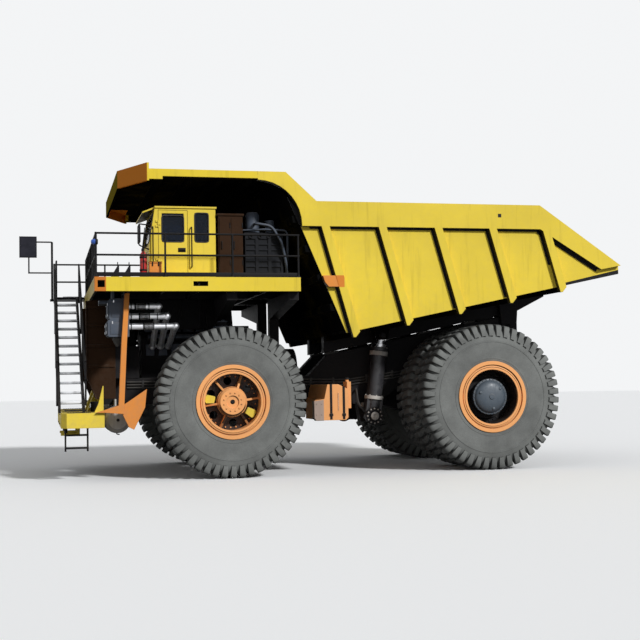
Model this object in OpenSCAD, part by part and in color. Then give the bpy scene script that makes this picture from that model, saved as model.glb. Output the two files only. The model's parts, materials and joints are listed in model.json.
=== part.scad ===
// Rigid mining dump truck, 220 t class, standing empty with its bed down
// +X is forward, +Y is the driver's left, +Z is up
// The origin is on the ground, on the centre line, at the middle of the overall length
// Inside the modules x = 0 is the front axle, and placed() moves it to its place

/* [Wheels] */
// Distance between the axles
wheelbase = 6400; // [6000:50:7600]
// Outside diameter of a tyre
tyre_d = 3580; // [3000:10:3800]
// Width of a tyre
tyre_w = 1080; // [900:10:1150]
// Diameter of the rim at the tyre's bead
bead_d = 1460; // [1300:10:1600]
// Centre line of the truck to the middle of a front tyre
front_tyre_y = 2830; // [2750:10:2900]
// Centre line of the truck to the middle of a pair of rear tyres
rear_pair_y = 2400; // [2350:10:2450]
// Middle of one rear tyre to the middle of its neighbour
pair_pitch = 1260; // [1220:10:1300]

/* [Frame] */
// Centre line of the truck to the middle of a frame rail
rail_y = 850; // [800:10:900]
// Width of a frame rail
rail_w = 320; // [240:10:360]
// Height of a frame rail at the front
rail_h = 700; // [550:10:750]
// Underside of the front rails above the ground
rail_z = 1700; // [1600:10:1800]
// Front axle to the bumper's back
bumper_x = 2950; // [2900:10:3100]
// Depth of the bumper, front to back
bumper_l = 980; // [800:10:1100]
// Half of the bumper's width
bumper_y = 2950; // [2600:10:3100]
// Underside of the bumper above the ground
bumper_z = 1250; // [1200:10:1300]
// Height of the bumper
bumper_h = 350; // [280:10:400]

/* [Steering] */
// Centre line of the truck to a steering axis
king_y = 1900; // [1860:10:1950]
// Steering axis to the tie rod's pins
tie_arm = 950; // [900:10:1000]
// Steering axis to the steering cylinders' pins
cyl_arm = 500; // [450:10:560]
// Height of the tie rod and the steering cylinders
link_z = 1440; // [1400:10:1480]

/* [Deck] */
// Front axle to the deck's front edge
deck_front = 3190; // [3100:10:3300]
// Front axle back to the deck's rear edge
deck_rear = 1600; // [1500:10:1700]
// Half of the deck's width
deck_y = 3650; // [3500:10:3750]
// Walking surface above the ground
deck_z = 4700; // [4600:10:4800]
// Height of the deck's edge beam
edge_h = 330; // [250:10:360]
// Height of the handrails above the deck
rail_up = 1010; // [900:10:1100]
// Diameter of a handrail tube
tube_d = 46; // [38:1:60]

/* [Cab] */
// Front axle to the cab's front wall
cab_front = 1880; // [1800:10:1950]
// Front axle to the cab's rear wall
cab_rear = 300; // [250:10:400]
// Centre line to the cab's outer side
cab_out = 2900; // [2850:10:2920]
// Centre line to the cab's inner side
cab_in = 800; // [700:10:900]
// Height of the cab above the deck
cab_h = 1750; // [1600:10:1850]
// Thickness of the cab's walls
cab_wall = 60; // [40:5:80]
// Width of a cab door
door_w = 700; // [620:10:740]

/* [Bed] */
// Half of the bed's inside width
bed_y = 3500; // [3200:10:3600]
// Thickness of the side and floor plates
plate = 45; // [30:5:60]
// How far the ribs and rails stand out of the side plates
rib_out = 140; // [100:10:150]
// Width of a side rib
rib_w = 200; // [150:10:240]
// Distance from rib to rib along the truck
rib_pitch = 1415; // [1300:5:1450]
// Rake of the ribs from the vertical
rib_rake = 15.6; // [12:0.1:18]
// Slope of the floor, rising to the rear
floor_rise = 11.4; // [9:0.1:13]
// Front axle back to the foot of the bed's front wall
bed_front = 2720; // [2650:10:2800]
// Underside of the floor at its front edge, above the ground
floor_z = 3385; // [3350:5:3450]
// Front axle back to the top of the first side rib
rib_first = 2220; // [2150:10:2300]
// Rake of the front wall from the vertical
wall_rake = 22.9; // [20:0.1:25]
// Top of the side rails above the ground
side_z = 6520; // [6300:10:6700]
// Height of the top rail band
band_h = 600; // [450:10:650]
// Top of the canopy above the ground
canopy_z = 7200; // [7150:10:7350]
// Front axle to the canopy's front edge
canopy_x = 2590; // [2300:10:2700]
// Rear axle back to the bed's hinge
hinge_back = 1500; // [1400:10:1600]
// Bed's hinge above the ground
hinge_z = 3560; // [3500:10:3600]
// Bed's hinge back to the tail edge of the bed
tail_over = 1980; // [1800:10:2200]

/* [Hoist] */
// Front wheel axle back to the hoist cylinders' lower pins
hoist_back = 3940; // [3850:10:4000]
// Hoist cylinders' lower pins above the ground
hoist_z = 1330; // [1300:10:1400]
// Centre line to the middle of a hoist cylinder
hoist_y = 1340; // [1300:10:1360]
// Outside diameter of the hoist barrel
hoist_d = 400; // [300:10:420]

/* [Stairs] */
// Number of treads
tread_n = 12; // [10:1:14]
// Width of the stairs
stair_w = 620; // [500:10:700]

/* [Hidden] */
$fn = 48;
gap = 0.3;
front_x = 4960;
rear_x = -wheelbase;
hinge_x = rear_x - hinge_back;
tail_x = hinge_x - tail_over;
mid_x = (front_x + tail_x) / 2;
tyre_r = tyre_d / 2;
yellow = "gold";
dark = [0.16, 0.16, 0.17];

// Shared helpers
module placed() translate([-mid_x, 0, 0]) children();
module both() { children(); mirror([0, 1, 0]) children(); }
module sided(s) { if (s > 0) children(); else mirror([0, 1, 0]) children(); }
module block(x, y, z) translate([x[0], y[0], z[0]]) cube([x[1] - x[0], y[1] - y[0], z[1] - z[0]]);
// An outline in the side view (x, z), made a plate from y0 to y1
module side_plate(y0, y1) translate([0, y1, 0]) rotate([90, 0, 0]) linear_extrude(y1 - y0) children();
// An outline in the front view (y, z), made a plate from x0 to x1
module front_plate(x0, x1) translate([x0, 0, 0]) rotate([90, 0, 90]) linear_extrude(x1 - x0) children();
// A round bar across the truck
module cross_bar(x, z, y0, y1, d) translate([x, y1, z]) rotate([90, 0, 0]) cylinder(h = y1 - y0, d = d);
// A round bar from point to point
module bar(p, q, d) {
    v = q - p;
    translate(p) rotate([0, acos(v[2] / norm(v)), atan2(v[1], v[0])]) cylinder(h = norm(v), d = d);
}
// Underside of the bed's floor at a place along the truck
function floor_at(x) = floor_z + tan(floor_rise) * (-bed_front - x);

// Places along the truck that several pieces share
beam_h = 430;
pad_h = 60;
beam_in = rail_y - 120;
beam_out = rail_y + 120;
bolster_h = 140;
weld = 15;
seat_front = -bed_front - 150;
seat_rear = hinge_x + 420;
function seat_at(x) = floor_at(x) - beam_h - pad_h;
hoist_x = -hoist_back;
eye_x = hoist_x - 280;
eye_z = floor_at(eye_x) - 290;
hinge_pin_d = 180;
strut_d = 440;
axle_z = tyre_r;
radiator_x = 2350;
core_d = 330;
collar_l = 640;
collar_y = 1560;
sump_z = rail_z + 150;
cleaner_x = radiator_x + 10;
cleaner_out = 2869;
panel_y = 1150;
rail_in = rail_y - rail_w / 2;
rail_out = rail_y + rail_w / 2;
deck_under = deck_z - edge_h;
post_x = deck_front - 620;
stair_back = bumper_x + 420;
stair_front = stair_back + stair_w;
stair_foot = 2350;
stair_head = -2650;
mirror_y = -3450;
tow_x = bumper_x + bumper_l - 140;
tow_d = 90;
tow_plate = 60;
tow_z = bumper_z - 240;
tank_x = -2380;
fuel_z = 1290;
strut_z = 2760;
rear_strut_x = rear_x - 800;
nose_x = rear_x + 1950;
nose_y = 300;
barrel_y = 400;
spindle_d = 400;
link_pin_d = 60;
hoist_pin_d = 130;

// The main frame
module rail_outline() polygon([
    [bumper_x - 60, rail_z + 60], [bumper_x - 60, rail_z + rail_h - 60], [2500, rail_z + rail_h],
    [-2350, rail_z + rail_h], [seat_front, seat_at(seat_front)], [hinge_x, seat_at(hinge_x)],
    [hinge_x - 260, hinge_z + 200], [hinge_x - 260, hinge_z - 300], [hinge_x - 100, hinge_z - 380],
    [rear_x + 500, seat_at(rear_x) - 720], [hoist_x - 250, rail_z - 60], [hoist_x + 350, rail_z - 60],
    [-2900, rail_z]]);
function collar_side(z) = collar_y - (z - 3350) * (collar_y - panel_y) / (deck_under - 3350);
module collar() difference() {
    front_plate(-collar_l / 2, collar_l / 2) polygon([
        [-collar_y, 1560], [-collar_y, 3350], [-panel_y, deck_under], [panel_y, deck_under], [collar_y, 3350],
        [collar_y, 1560], [1200, 1560], [1100, 1500], [-1100, 1500], [-1200, 1560]]);
    front_plate(-collar_l, collar_l) polygon([
        [-rail_in, sump_z], [-rail_in, 3500], [-450, 3800], [450, 3800], [rail_in, 3500], [rail_in, sump_z]]);
}
// Rails with the pins of the hoist and of the bed
module frame_rails() color(dark) placed() both() {
    side_plate(rail_in, rail_out) rail_outline();
    side_plate(rail_in, rail_out) polygon([
        [hoist_x - 260, rail_z], [hoist_x + 300, rail_z], [hoist_x + 210, hoist_z - 150],
        [hoist_x - 210, hoist_z - 150]]);
    cross_bar(hoist_x, hoist_z, rail_y, hoist_y + hoist_d / 2 + 70, hoist_pin_d);
    cross_bar(hoist_x, hoist_z, hoist_y + hoist_d / 2 + 12, hoist_y + hoist_d / 2 + 52, 460);
    cross_bar(hinge_x, hinge_z, rail_in - 110, rail_out + 130, hinge_pin_d);
}
// Portal over the front axle, with the brackets and pins of the steering cylinders
module front_collar() color(dark) placed() {
    difference() {
        collar();
        both() block([-collar_l, collar_l], [rail_in, rail_out], [rail_z, rail_z + rail_h]);
    }
    both() {
        block([-cyl_arm - 120, -260], [barrel_y - 80, barrel_y + 30], [link_z - 110, link_z - 70]);
        block([-320, -260], [barrel_y - 80, barrel_y + 30], [link_z - 110, 1620]);
        translate([-cyl_arm, barrel_y, link_z - 110]) cylinder(h = 170, d = link_pin_d);
    }
}
// Tubes between the rails, the plates that hold the nose of the axle's arm, and the rear struts' seat
module cross_members() color(dark) placed() {
    cross_bar(-2700, rail_z + 350, -rail_in, rail_in, 460);
    cross_bar(rear_x + 1050, 3080, -rail_in, rail_in, 240);
    cross_bar(hinge_x + 480, hinge_z + 60, -rail_in, rail_in, 340);
    cross_bar(hoist_x, rail_z + 250, -rail_in, rail_in, 360);
    both() side_plate(nose_y, nose_y + 100) polygon([
        [hoist_x + 100, 1620], [hoist_x + 100, 1990], [nose_x - 150, 1990], [nose_x - 150, 1590],
        [hoist_x, 1560]]);
    block([rear_strut_x - 170, rear_strut_x + 170], [-rail_in, rail_in], [3150, 3350]);
}
// Arms that carry the deck over the front wheels, and posts at its rear edge
module deck_arms() color(dark) placed() both() {
    front_plate(-120, 120) polygon([
        [panel_y, deck_under], [collar_side(3750), 3750], [3400, 4180], [3400, deck_under]]);
    block([-deck_rear, -deck_rear + 240], [700, 950], [rail_z + rail_h, deck_under]);
    front_plate(-deck_rear, -deck_rear + 240) polygon([
        [950, deck_under], [950, 3850], [3400, 4180], [3400, deck_under]]);
}

// The bumper with its tow brackets
module bumper() color(yellow) placed() {
    x1 = bumper_x + bumper_l;
    top = bumper_z + bumper_h;
    translate([0, 0, bumper_z]) linear_extrude(bumper_h) polygon([
        [bumper_x, -bumper_y], [x1 - 120, -bumper_y], [x1, -bumper_y + 160], [x1, bumper_y - 160],
        [x1 - 120, bumper_y], [bumper_x, bumper_y]]);
    // Brackets that hang the bumper on the rails
    both() side_plate(rail_in, rail_out) polygon([
        [bumper_x - 60, rail_z + 60], [bumper_x - 60, rail_z + rail_h - 100],
        [bumper_x + 60, rail_z + rail_h - 100], [bumper_x + 320, top], [bumper_x, top]]);
    // Upright fins that stiffen it beside the leaning posts
    both() side_plate(2500, 2560) polygon([
        [bumper_x, top - 10], [bumper_x + 220, top - 10], [bumper_x + 120, top + 210],
        [bumper_x + 20, top + 620], [bumper_x, top + 620]]);
    // Tow brackets: two level plates on a back plate, bored for an upright pin
    both() difference() {
        union() {
            block([x1 - 480, x1 - 420], [rail_y - 150, rail_y + 150], [tow_z, bumper_z]);
            for (z = [tow_z, bumper_z - tow_plate]) translate([0, 0, z]) linear_extrude(tow_plate) polygon([
                [x1 - 480, rail_y - 150], [tow_x, rail_y - 150], [x1 - 20, rail_y - 70],
                [x1 - 20, rail_y + 70], [tow_x, rail_y + 150], [x1 - 480, rail_y + 150]]);
        }
        translate([tow_x, rail_y, tow_z - 10]) cylinder(h = bumper_z - tow_z + 10, d = tow_d);
    }
}

// Oil and gas struts: fixed barrels at the front, whole struts over the rear axle
module suspension_struts() color(dark) placed() both() {
    translate([0, king_y, strut_z]) cylinder(h = 900, d = strut_d);
    translate([0, king_y, strut_z + 900]) cylinder(h = 80, d = 300);
    for (z = [strut_z + 90, strut_z + 390]) block([-250, 250], [collar_y, king_y], [z, z + 200]);
    bar([rear_strut_x, 480, 2240], [rear_strut_x, 480, 2700], 260);
    bar([rear_strut_x, 480, 2700], [rear_strut_x, 480, 3150], 340);
}

// Rear axle: the drive housing between the wheels and the arm that leads it from the frame
module rear_axle() color(dark) placed() {
    cross_bar(rear_x, axle_z, -1130, 1130, 1500);
    both() cross_bar(rear_x, axle_z, 1130, 2850, 900);
    side_plate(-300, 300) polygon([
        [nose_x, axle_z - 180], [nose_x, axle_z + 180], [rear_x + 600, axle_z + 560],
        [rear_x + 600, axle_z - 560]]);
    cross_bar(nose_x, axle_z, -nose_y, nose_y, 420);
    both() block([rear_strut_x - 150, rear_x - 560], [330, 630], [axle_z + 300, 2240]);
}

// Rubber pads on the rails that the bed rests on
module bed_pads() color([0.1, 0.1, 0.1]) placed()
    both() for (i = [0 : 3]) {
        x = seat_front - 300 - i * (seat_front - seat_rear - 800) / 3;
        translate([x, rail_y - 120, seat_at(x) + 0.1]) rotate([0, floor_rise, 0]) cube([320, 240, pad_h - 7]);
    }

// The engine on its feet and the generator behind it
module engine_block() color(dark) placed() {
    front_plate(-900, 1900) polygon([
        [-500, sump_z], [-560, 2500], [-640, 2900], [-640, 3420], [-420, 3720], [420, 3720],
        [640, 3420], [640, 2900], [560, 2500], [500, sump_z]]);
    translate([-2150, 0, 2500]) rotate([0, 90, 0]) cylinder(h = 1250, d = 1240);
    for (x = [-1800, 1450]) block([x, x + 200], [-rail_in, rail_in], [2150, 2350]);
}

// Radiator over and between the rails, with its shroud
module radiator() color(dark) placed() {
    block([radiator_x, radiator_x + core_d], [-1480, 1480], [rail_z + rail_h, deck_under]);
    block([radiator_x, radiator_x + core_d], [-rail_in, rail_in], [sump_z, rail_z + rail_h + 10]);
    translate([radiator_x - 280, 0, 3350]) rotate([0, 90, 0]) cylinder(h = 280, d1 = 1500, d2 = 1860);
}

// Guard of upright bars in front of the radiator
module grille_guard() color(dark) placed() {
    x0 = radiator_x + core_d;
    z0 = rail_z + rail_h;
    for (z = [z0, 2950, deck_under - 140]) block([x0, x0 + 70], [-1480, 1480], [z, z + 140]);
    for (i = [0 : 15]) block([x0, x0 + 70], [-1480 + i * 194.7, -1440 + i * 194.7], [z0, deck_under]);
}

// Reach of a steered tyre's shoulder from the steering axis
tyre_reach = norm([tyre_r, front_tyre_y - king_y + tyre_w / 2]) - 90;
function clear_of_tyre(y) = -sqrt(pow(tyre_reach, 2) - pow(y - king_y, 2)) - 60;
// Fuel tank beside the left rail, stepped at the front, with its filler column at the back
fuel_out = 2880;
module fuel_tank() color("orange") placed() {
    x0 = clear_of_tyre(fuel_out);
    x1 = x0 - 850;
    intersection() {
        side_plate(rail_out, fuel_out) polygon([
            [x0, fuel_z + 60], [x0 - 40, fuel_z], [x1 + 60, fuel_z], [x1, fuel_z + 60],
            [x1, fuel_z + 750], [x0 - 610, fuel_z + 870], [x0 - 330, fuel_z + 870],
            [x0 - 250, fuel_z + 520], [x0, fuel_z + 480]]);
        translate([0, 0, fuel_z]) linear_extrude(1000) polygon([
            [x1, rail_out], [clear_of_tyre(king_y + 300), rail_out],
            [clear_of_tyre(king_y + 300), king_y + 300], [x0, fuel_out], [x1, fuel_out]]);
    }
    block([x1 - 90, x1 + 10], [fuel_out - 420, fuel_out - 60], [fuel_z + 280, fuel_z + 930]);
    translate([x1 - 40, fuel_out - 240, fuel_z + 920]) cylinder(h = 60, d = 90);
}
// Hydraulic tank beside the right rail
module hydraulic_tank() color(dark) placed() mirror([0, 1, 0]) {
    x0 = tank_x;
    x1 = tank_x - 1000;
    side_plate(rail_out, rail_out + 1310) polygon([
        [x0, fuel_z + 150], [x0, fuel_z + 900], [x0 - 160, fuel_z + 1060], [x1 + 160, fuel_z + 1060],
        [x1, fuel_z + 900], [x1, fuel_z + 150], [x1 + 90, fuel_z + 60], [x0 - 90, fuel_z + 60]]);
    translate([x0 - 380, rail_out + 700, fuel_z + 1050]) cylinder(h = 60, d = 260);
    translate([x0 - 720, rail_out + 900, fuel_z + 1050]) cylinder(h = 90, d = 150);
}
// Air tanks behind the bumper, each with domed ends, on a bracket from the rail
air_d = 620;
module air_tanks() color("silver") placed() both() {
    translate([post_x + 50, 0, fuel_z + 120]) rotate([-90, 0, 0]) rotate_extrude() polygon([
        [0, 1350], [air_d / 2 - 90, 1370], [air_d / 2 - 20, 1420], [air_d / 2, 1480], [air_d / 2, 2410],
        [air_d / 2 - 20, 2470], [air_d / 2 - 90, 2520], [0, 2545]]);
    block([post_x + 20, post_x + 60], [rail_out, 1500], [fuel_z + 300, fuel_z + 600]);
}

// The deck in three panels, each a plate with its edge beams
module deck_panel(y0, y1) {
    difference() {
        block([-deck_rear, deck_front], [y0, y1], [deck_under, deck_z]);
        block([-deck_rear + 60, deck_front - 60], [y0 + 60, y1 - 60], [deck_under - 10, deck_z - 40]);
    }
    for (x = [-deck_rear + 800 : 800 : deck_front - 400])
        block([x - 25, x + 25], [y0 + 50, y1 - 50], [deck_under, deck_z - 30]);
}
module deck_left() color(yellow) placed() difference() {
    deck_panel(panel_y, deck_y);
    block([600, 940], [deck_y - 70, deck_y + 10], [deck_z - 210, deck_z - 100]);
    block([deck_front - 230, deck_front - 70], [deck_y - 70, deck_y + 10], [deck_z - 240, deck_z - 80]);
}
module deck_centre() color(yellow) placed() deck_panel(-panel_y, panel_y);
module deck_right() color(yellow) placed() mirror([0, 1, 0]) deck_panel(panel_y, deck_y);

// Leaning posts from the bumper up to the deck
module fender_posts() color("orange") placed() both() {
    side_plate(2900, 3040) polygon([
        [post_x - 210, deck_under], [post_x - 100, deck_under], [post_x - 20, 3300], [post_x + 60, 1760],
        [bumper_x + 200, bumper_z + bumper_h], [bumper_x, bumper_z + bumper_h],
        [post_x - 60, 1560], [post_x - 140, 3200]]);
    // Wing plate behind the foot, clear of the steered tyre
    side_plate(2960, 3020) polygon([
        [post_x - 10, 1740], [-clear_of_tyre(2960) - 40, 2130], [-clear_of_tyre(2960) + 5, 1700],
        [post_x - 290, 1190], [post_x - 170, 1250], [post_x - 10, 1590]]);
    // Hangers of the air cleaner boxes
    for (z = [3420, 3640, 3840, 4140])
        block([cleaner_x + 60, cleaner_x + 130], [cleaner_out + gap, 2910], [z, z + 60]);
}

// Two air cleaner boxes, one under the other, at each front corner under the deck
module air_cleaners() color([0.2, 0.23, 0.27]) placed() both() {
    top = deck_under - 110;
    for (b = [[0, 500, 440], [499, 900, 470]]) side_plate(2150, cleaner_out) polygon([
        [cleaner_x, top - b[0]], [cleaner_x + b[2], top - b[0]], [cleaner_x + b[2] + 30, top - b[0] - 40],
        [cleaner_x + b[2] + 30, top - b[1] + 30], [cleaner_x + b[2], top - b[1]], [cleaner_x, top - b[1]]]);
    // Dust bowls under the lower box and a canister before the upper one
    for (y = [2330, 2690]) translate([cleaner_x + 250, y, top - 1060]) cylinder(h = 165, d1 = 110, d2 = 230);
    translate([cleaner_x + 460, 2640, top - 95]) rotate([0, 90, 0]) cylinder(h = 230, d = 130);
    // Straps up to the deck's plate
    for (x = [cleaner_x + 80, cleaner_x + 340]) block([x, x + 50], [2200, 2840], [top - 5, deck_z - 40]);
}
module intake_pipes() color("silver") placed() both() for (i = [0 : 2]) {
    x = 1640 - 200 * i;
    z = 4100 - 240 * i;
    translate([x, 2500, z]) rotate([0, 90, 0]) cylinder(h = cleaner_x - x, d = 160);
    bar([x, 2500, z], [x, 900, 3200], 150);
    for (p = [[x, 2500, z], [x, 900, 3200]]) translate(p) sphere(d = 190, $fn = 24);
    cross_bar(x, 3200, 640, 900, 160);
}

module headlamps() color("whitesmoke") placed() both() for (y = [1150, 1500])
    block([bumper_x + 80, bumper_x + 230], [y, y + 280], [bumper_z + bumper_h, bumper_z + bumper_h + 240]);

// Handrails round the deck and the landing
module rail_run(p, q, up, n) {
    v = (q - p) / norm(q - p) * (tube_d / 2 + 7);
    for (z = [up / 2, up - 7]) bar(p - v + [0, 0, z], q + v + [0, 0, z], tube_d);
    for (i = [0 : n]) bar(p + (q - p) * i / n, p + (q - p) * i / n + [0, 0, up], tube_d);
}
module handrails() color(dark) placed() {
    e = 40;
    side = deck_y - e;
    rail_run([deck_front - e, side, deck_z], [-deck_rear + e, side, deck_z], rail_up, 3);
    rail_run([stair_front - e, -side, deck_z], [-deck_rear + e, -side, deck_z], rail_up, 4);
    rail_run([deck_front - e, side, deck_z], [deck_front - e, stair_head + 150, deck_z], rail_up, 6);
    rail_run([stair_front - e, -side, deck_z], [stair_front - e, stair_head - 30, deck_z], rail_up, 1);
}

// Diagonal stairs across the front, from the left foot up to the landing on the right
foot_z = bumper_z + bumper_h;
module front_stairs() color(dark) placed() {
    rise = (deck_z - foot_z) / (tread_n + 1);
    run = (stair_foot - stair_head) / (tread_n + 1);
    for (x = [stair_back, stair_front - 60]) {
        front_plate(x, x + 60) polygon([
            [stair_foot, foot_z], [stair_foot - 260, foot_z], [stair_head - 60, deck_z - 220],
            [stair_head - 60, deck_z], [stair_head + 130, deck_z], [stair_foot, foot_z + 160]]);
    }
    for (i = [1 : tread_n])
        block([stair_back, stair_front], [stair_foot - i * run - 120, stair_foot - i * run + 120],
              [foot_z + i * rise - 40, foot_z + i * rise]);
    block([deck_front, stair_front], [-deck_y, stair_head], [deck_z - 60, deck_z]);
    block([stair_front - 10, stair_front + 130], [mirror_y - 80, mirror_y + 80], [deck_z - 60, deck_z]);
}

// Rails beside the stairs, their posts on the stringers' outer sides
function stringer_top(y) = foot_z + 160
    + (stair_foot - y) * (deck_z - foot_z - 160) / (stair_foot - stair_head - 130);
module stair_rails() color(dark) placed() {
    first = stair_foot - 200;
    last = stair_head + 240;
    for (x = [stair_back - tube_d / 2 - gap, stair_front + tube_d / 2 + gap]) {
        for (up = [500, 943])
            bar([x, first + 30, stringer_top(first + 30) + up],
                [x, last - 30, stringer_top(last - 30) + up], tube_d);
        for (i = [0 : 3]) {
            y = first + (last - first) * i / 3;
            bar([x, y, stringer_top(y) - 120], [x, y, stringer_top(y) + 950], tube_d);
        }
    }
}

// Ladder under the bumper at the foot of the stairs
module bottom_ladder() color(dark) placed() {
    for (x = [bumper_x + 350, bumper_x + 860]) block([x, x + 40], [2410, 2530], [700, bumper_z]);
    for (z = [760, 1060]) block([bumper_x + 350, bumper_x + 900], [2390, 2590], [z, z + 40]);
}

// Mirror on a post at the landing, turned to the driver
module far_mirror() color(dark) placed() {
    x0 = stair_front + 70;
    x1 = front_x - 260;
    bar([x0, mirror_y, deck_z], [x0, mirror_y, 6330], 60);
    for (z = [5450, 6330]) bar([x0, mirror_y, z], [x1, mirror_y, z], 40);
    bar([x1, mirror_y, 5430], [x1, mirror_y, 6350], 40);
    block([front_x - 480, front_x], [mirror_y + 10, mirror_y + 70], [5880, 6480]);
}

// The cab: walls with a leaning windscreen, windows cut and the doorway on the left
cab_z = deck_z;
cab_top = cab_z + cab_h;
door_front = cab_front - 210;
door_back = door_front - door_w;
sill = 900;
head = cab_h - 150;
module cab_outline(t) polygon([
    [cab_rear + t, cab_z + t], [cab_front - t, cab_z + t], [cab_front - t, cab_z + sill - 60],
    [cab_front - 140 - t, cab_top - t], [cab_rear + t, cab_top - t]]);
module front_window(y0, y1) block([cab_front - 300, cab_front + 50], [y0, y1], [cab_z + sill, cab_z + head]);
module cab_openings() {
    skin = [cab_out - cab_wall - 5, cab_out + 5];
    block([door_back, door_front], skin, [cab_z + cab_wall, cab_z + head + 60]);
    block([cab_rear + 170, cab_rear + 500], skin, [cab_z + sill, cab_z + head]);
    block([cab_rear + 170, cab_front - 400], [cab_in - 5, cab_in + cab_wall + 5],
          [cab_z + sill, cab_z + head]);
    block([cab_rear - 5, cab_rear + cab_wall + 5], [cab_in + 300, cab_out - 300],
          [cab_z + sill, cab_z + head]);
    front_window(cab_in + 110, cab_out - 110);
}
hinge_y = cab_out + 16;
door_hinge_x = door_front + 2;
module door_pins() for (z = [350, 1250]) {
    translate([door_hinge_x, hinge_y, cab_z + z]) cylinder(h = 160, d = 16);
    for (u = [0, 115]) {
        translate([door_hinge_x, hinge_y, cab_z + z + u]) cylinder(h = 45, d = 30);
        block([door_hinge_x, door_hinge_x + 60], [cab_out - 1, hinge_y + 4],
              [cab_z + z + u, cab_z + z + u + 45]);
    }
}
module cab_shell() color(yellow) placed() {
    difference() {
        side_plate(cab_in, cab_out) cab_outline(0);
        side_plate(cab_in + cab_wall, cab_out - cab_wall) cab_outline(cab_wall);
        cab_openings();
    }
    // Roof plate that stands out as a gutter, and the visor over the windscreen
    block([cab_rear - 25, cab_front - 130], [cab_in - 25, cab_out + 30], [cab_top - 45, cab_top]);
    side_plate(cab_in + 60, cab_out - 60) polygon([
        [cab_front - 160, cab_top], [cab_front + 150, cab_top - 130], [cab_front + 150, cab_top - 165],
        [cab_front - 160, cab_top - 45]]);
    door_pins();
}
module cab_glass() color("skyblue") placed() {
    block([cab_rear + 170, cab_rear + 500], [cab_out - 34, cab_out - 26], [cab_z + sill, cab_z + head]);
    block([cab_rear + 170, cab_front - 400], [cab_in + 26, cab_in + 34], [cab_z + sill, cab_z + head]);
    block([cab_rear + 26, cab_rear + 34], [cab_in + 300, cab_out - 300], [cab_z + sill, cab_z + head]);
    intersection() {
        side_plate(cab_in + 110, cab_out - 110) difference() { cab_outline(26); cab_outline(34); }
        front_window(cab_in + 110, cab_out - 110);
    }
}
module seat(x, y, w) {
    block([x - 240, x + 260], [y - w / 2, y + w / 2], [cab_z + cab_wall, cab_z + 480]);
    side_plate(y - w / 2, y + w / 2) polygon([
        [x - 240, cab_z + 480], [x - 120, cab_z + 480], [x - 220, cab_z + 1180], [x - 340, cab_z + 1180]]);
}
module cab_interior() color([0.2, 0.2, 0.22]) placed() {
    seat(cab_rear + 620, 2150, 520);
    seat(cab_rear + 560, 1330, 460);
    side_plate(cab_in + 200, cab_out - 200) polygon([
        [cab_front - 330, cab_z + cab_wall], [cab_front - 70, cab_z + cab_wall],
        [cab_front - 70, cab_z + 800], [cab_front - 250, cab_z + 860], [cab_front - 330, cab_z + 700]]);
    translate([cab_front - 360, 2150, cab_z + 880]) rotate([0, -25, 0]) cylinder(h = 30, d = 440);
    bar([cab_front - 280, 2150, cab_z + 700], [cab_front - 350, 2150, cab_z + 890], 50);
}
module cab_door() color(yellow) placed() {
    z0 = cab_z + cab_wall + 8;
    z1 = cab_z + head + 52;
    difference() {
        block([door_back + 8, door_front - 8], [cab_out - cab_wall, cab_out], [z0, z1]);
        block([door_back + 90, door_front - 90], [cab_out - cab_wall - 5, cab_out + 5],
              [cab_z + sill, cab_z + head - 20]);
    }
    for (z = [350, 1250]) difference() {
        union() {
            translate([door_hinge_x, hinge_y, cab_z + z + 50]) cylinder(h = 60, d = 30);
            block([door_front - 60, door_front - 8], [cab_out - 1, hinge_y + 4],
                  [cab_z + z + 50, cab_z + z + 110]);
            block([door_front - 20, door_hinge_x], [cab_out + 6, hinge_y + 4],
                  [cab_z + z + 50, cab_z + z + 110]);
        }
        translate([door_hinge_x, hinge_y, cab_z + z + 40]) cylinder(h = 80, d = 16.6);
    }
}
module door_glass() color("skyblue") placed()
    block([door_back + 90, door_front - 90], [cab_out - 34, cab_out - 26], [cab_z + sill, cab_z + head - 20]);

// A leaning louvre blade from x0 to x1, its root at (y, z)
module louvre(x0, x1, y, z) front_plate(x0, x1) polygon([
    [y - 6, z], [y + 22, z - 50], [y + 30, z - 44], [y + 2, z + 12]]);
// Cabinets on the deck: drive control behind the cab, retarding grids on the right
module control_cabinet() color([0.35, 0.22, 0.14]) placed() {
    tall = deck_z + 1590;
    low = deck_z + 1150;
    difference() {
        union() {
            block([-350, 240], [900, 2950], [deck_z, tall - 40]);
            block([-380, 270], [870, 2980], [tall - 50, tall]);
            block([-1350, -420], [1000, 2850], [deck_z, low - 30]);
            block([-1375, -395], [975, 2875], [low - 40, low]);
        }
        // Door joints of the tall cabinet and the louvred bays of the low one
        for (x = [-60, 225]) block([x - 12, x], [2935, 2960], [deck_z + 120, tall - 110]);
        for (x = [-1290, -980, -670]) block([x, x + 230], [2820, 2860], [deck_z + 160, low - 150]);
    }
    for (x = [-1290, -980, -670]) for (i = [0 : 5]) louvre(x - 5, x + 235, 2822, deck_z + 230 + i * 135);
}
module grid_box() color(yellow) placed() mirror([0, 1, 0]) difference() {
    union() {
        block([-1150, 1150], [1250, 3050], [deck_z + 90, deck_z + 1410]);
        block([-1180, 1180], [1220, 3080], [deck_z + 1400, deck_z + 1450]);
        for (x = [-1100, 920]) block([x, x + 180], [1300, 3000], [deck_z, deck_z + 100]);
    }
    // Three grid bays on the outer side and the fans' inlets at the front
    for (i = [0 : 2]) block([-1060 + 720 * i, -380 + 720 * i], [3010, 3060], [deck_z + 200, deck_z + 1290]);
    for (y = [1720, 2580]) translate([1110, y, deck_z + 760]) rotate([0, 90, 0]) cylinder(h = 60, d = 760);
}

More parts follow.
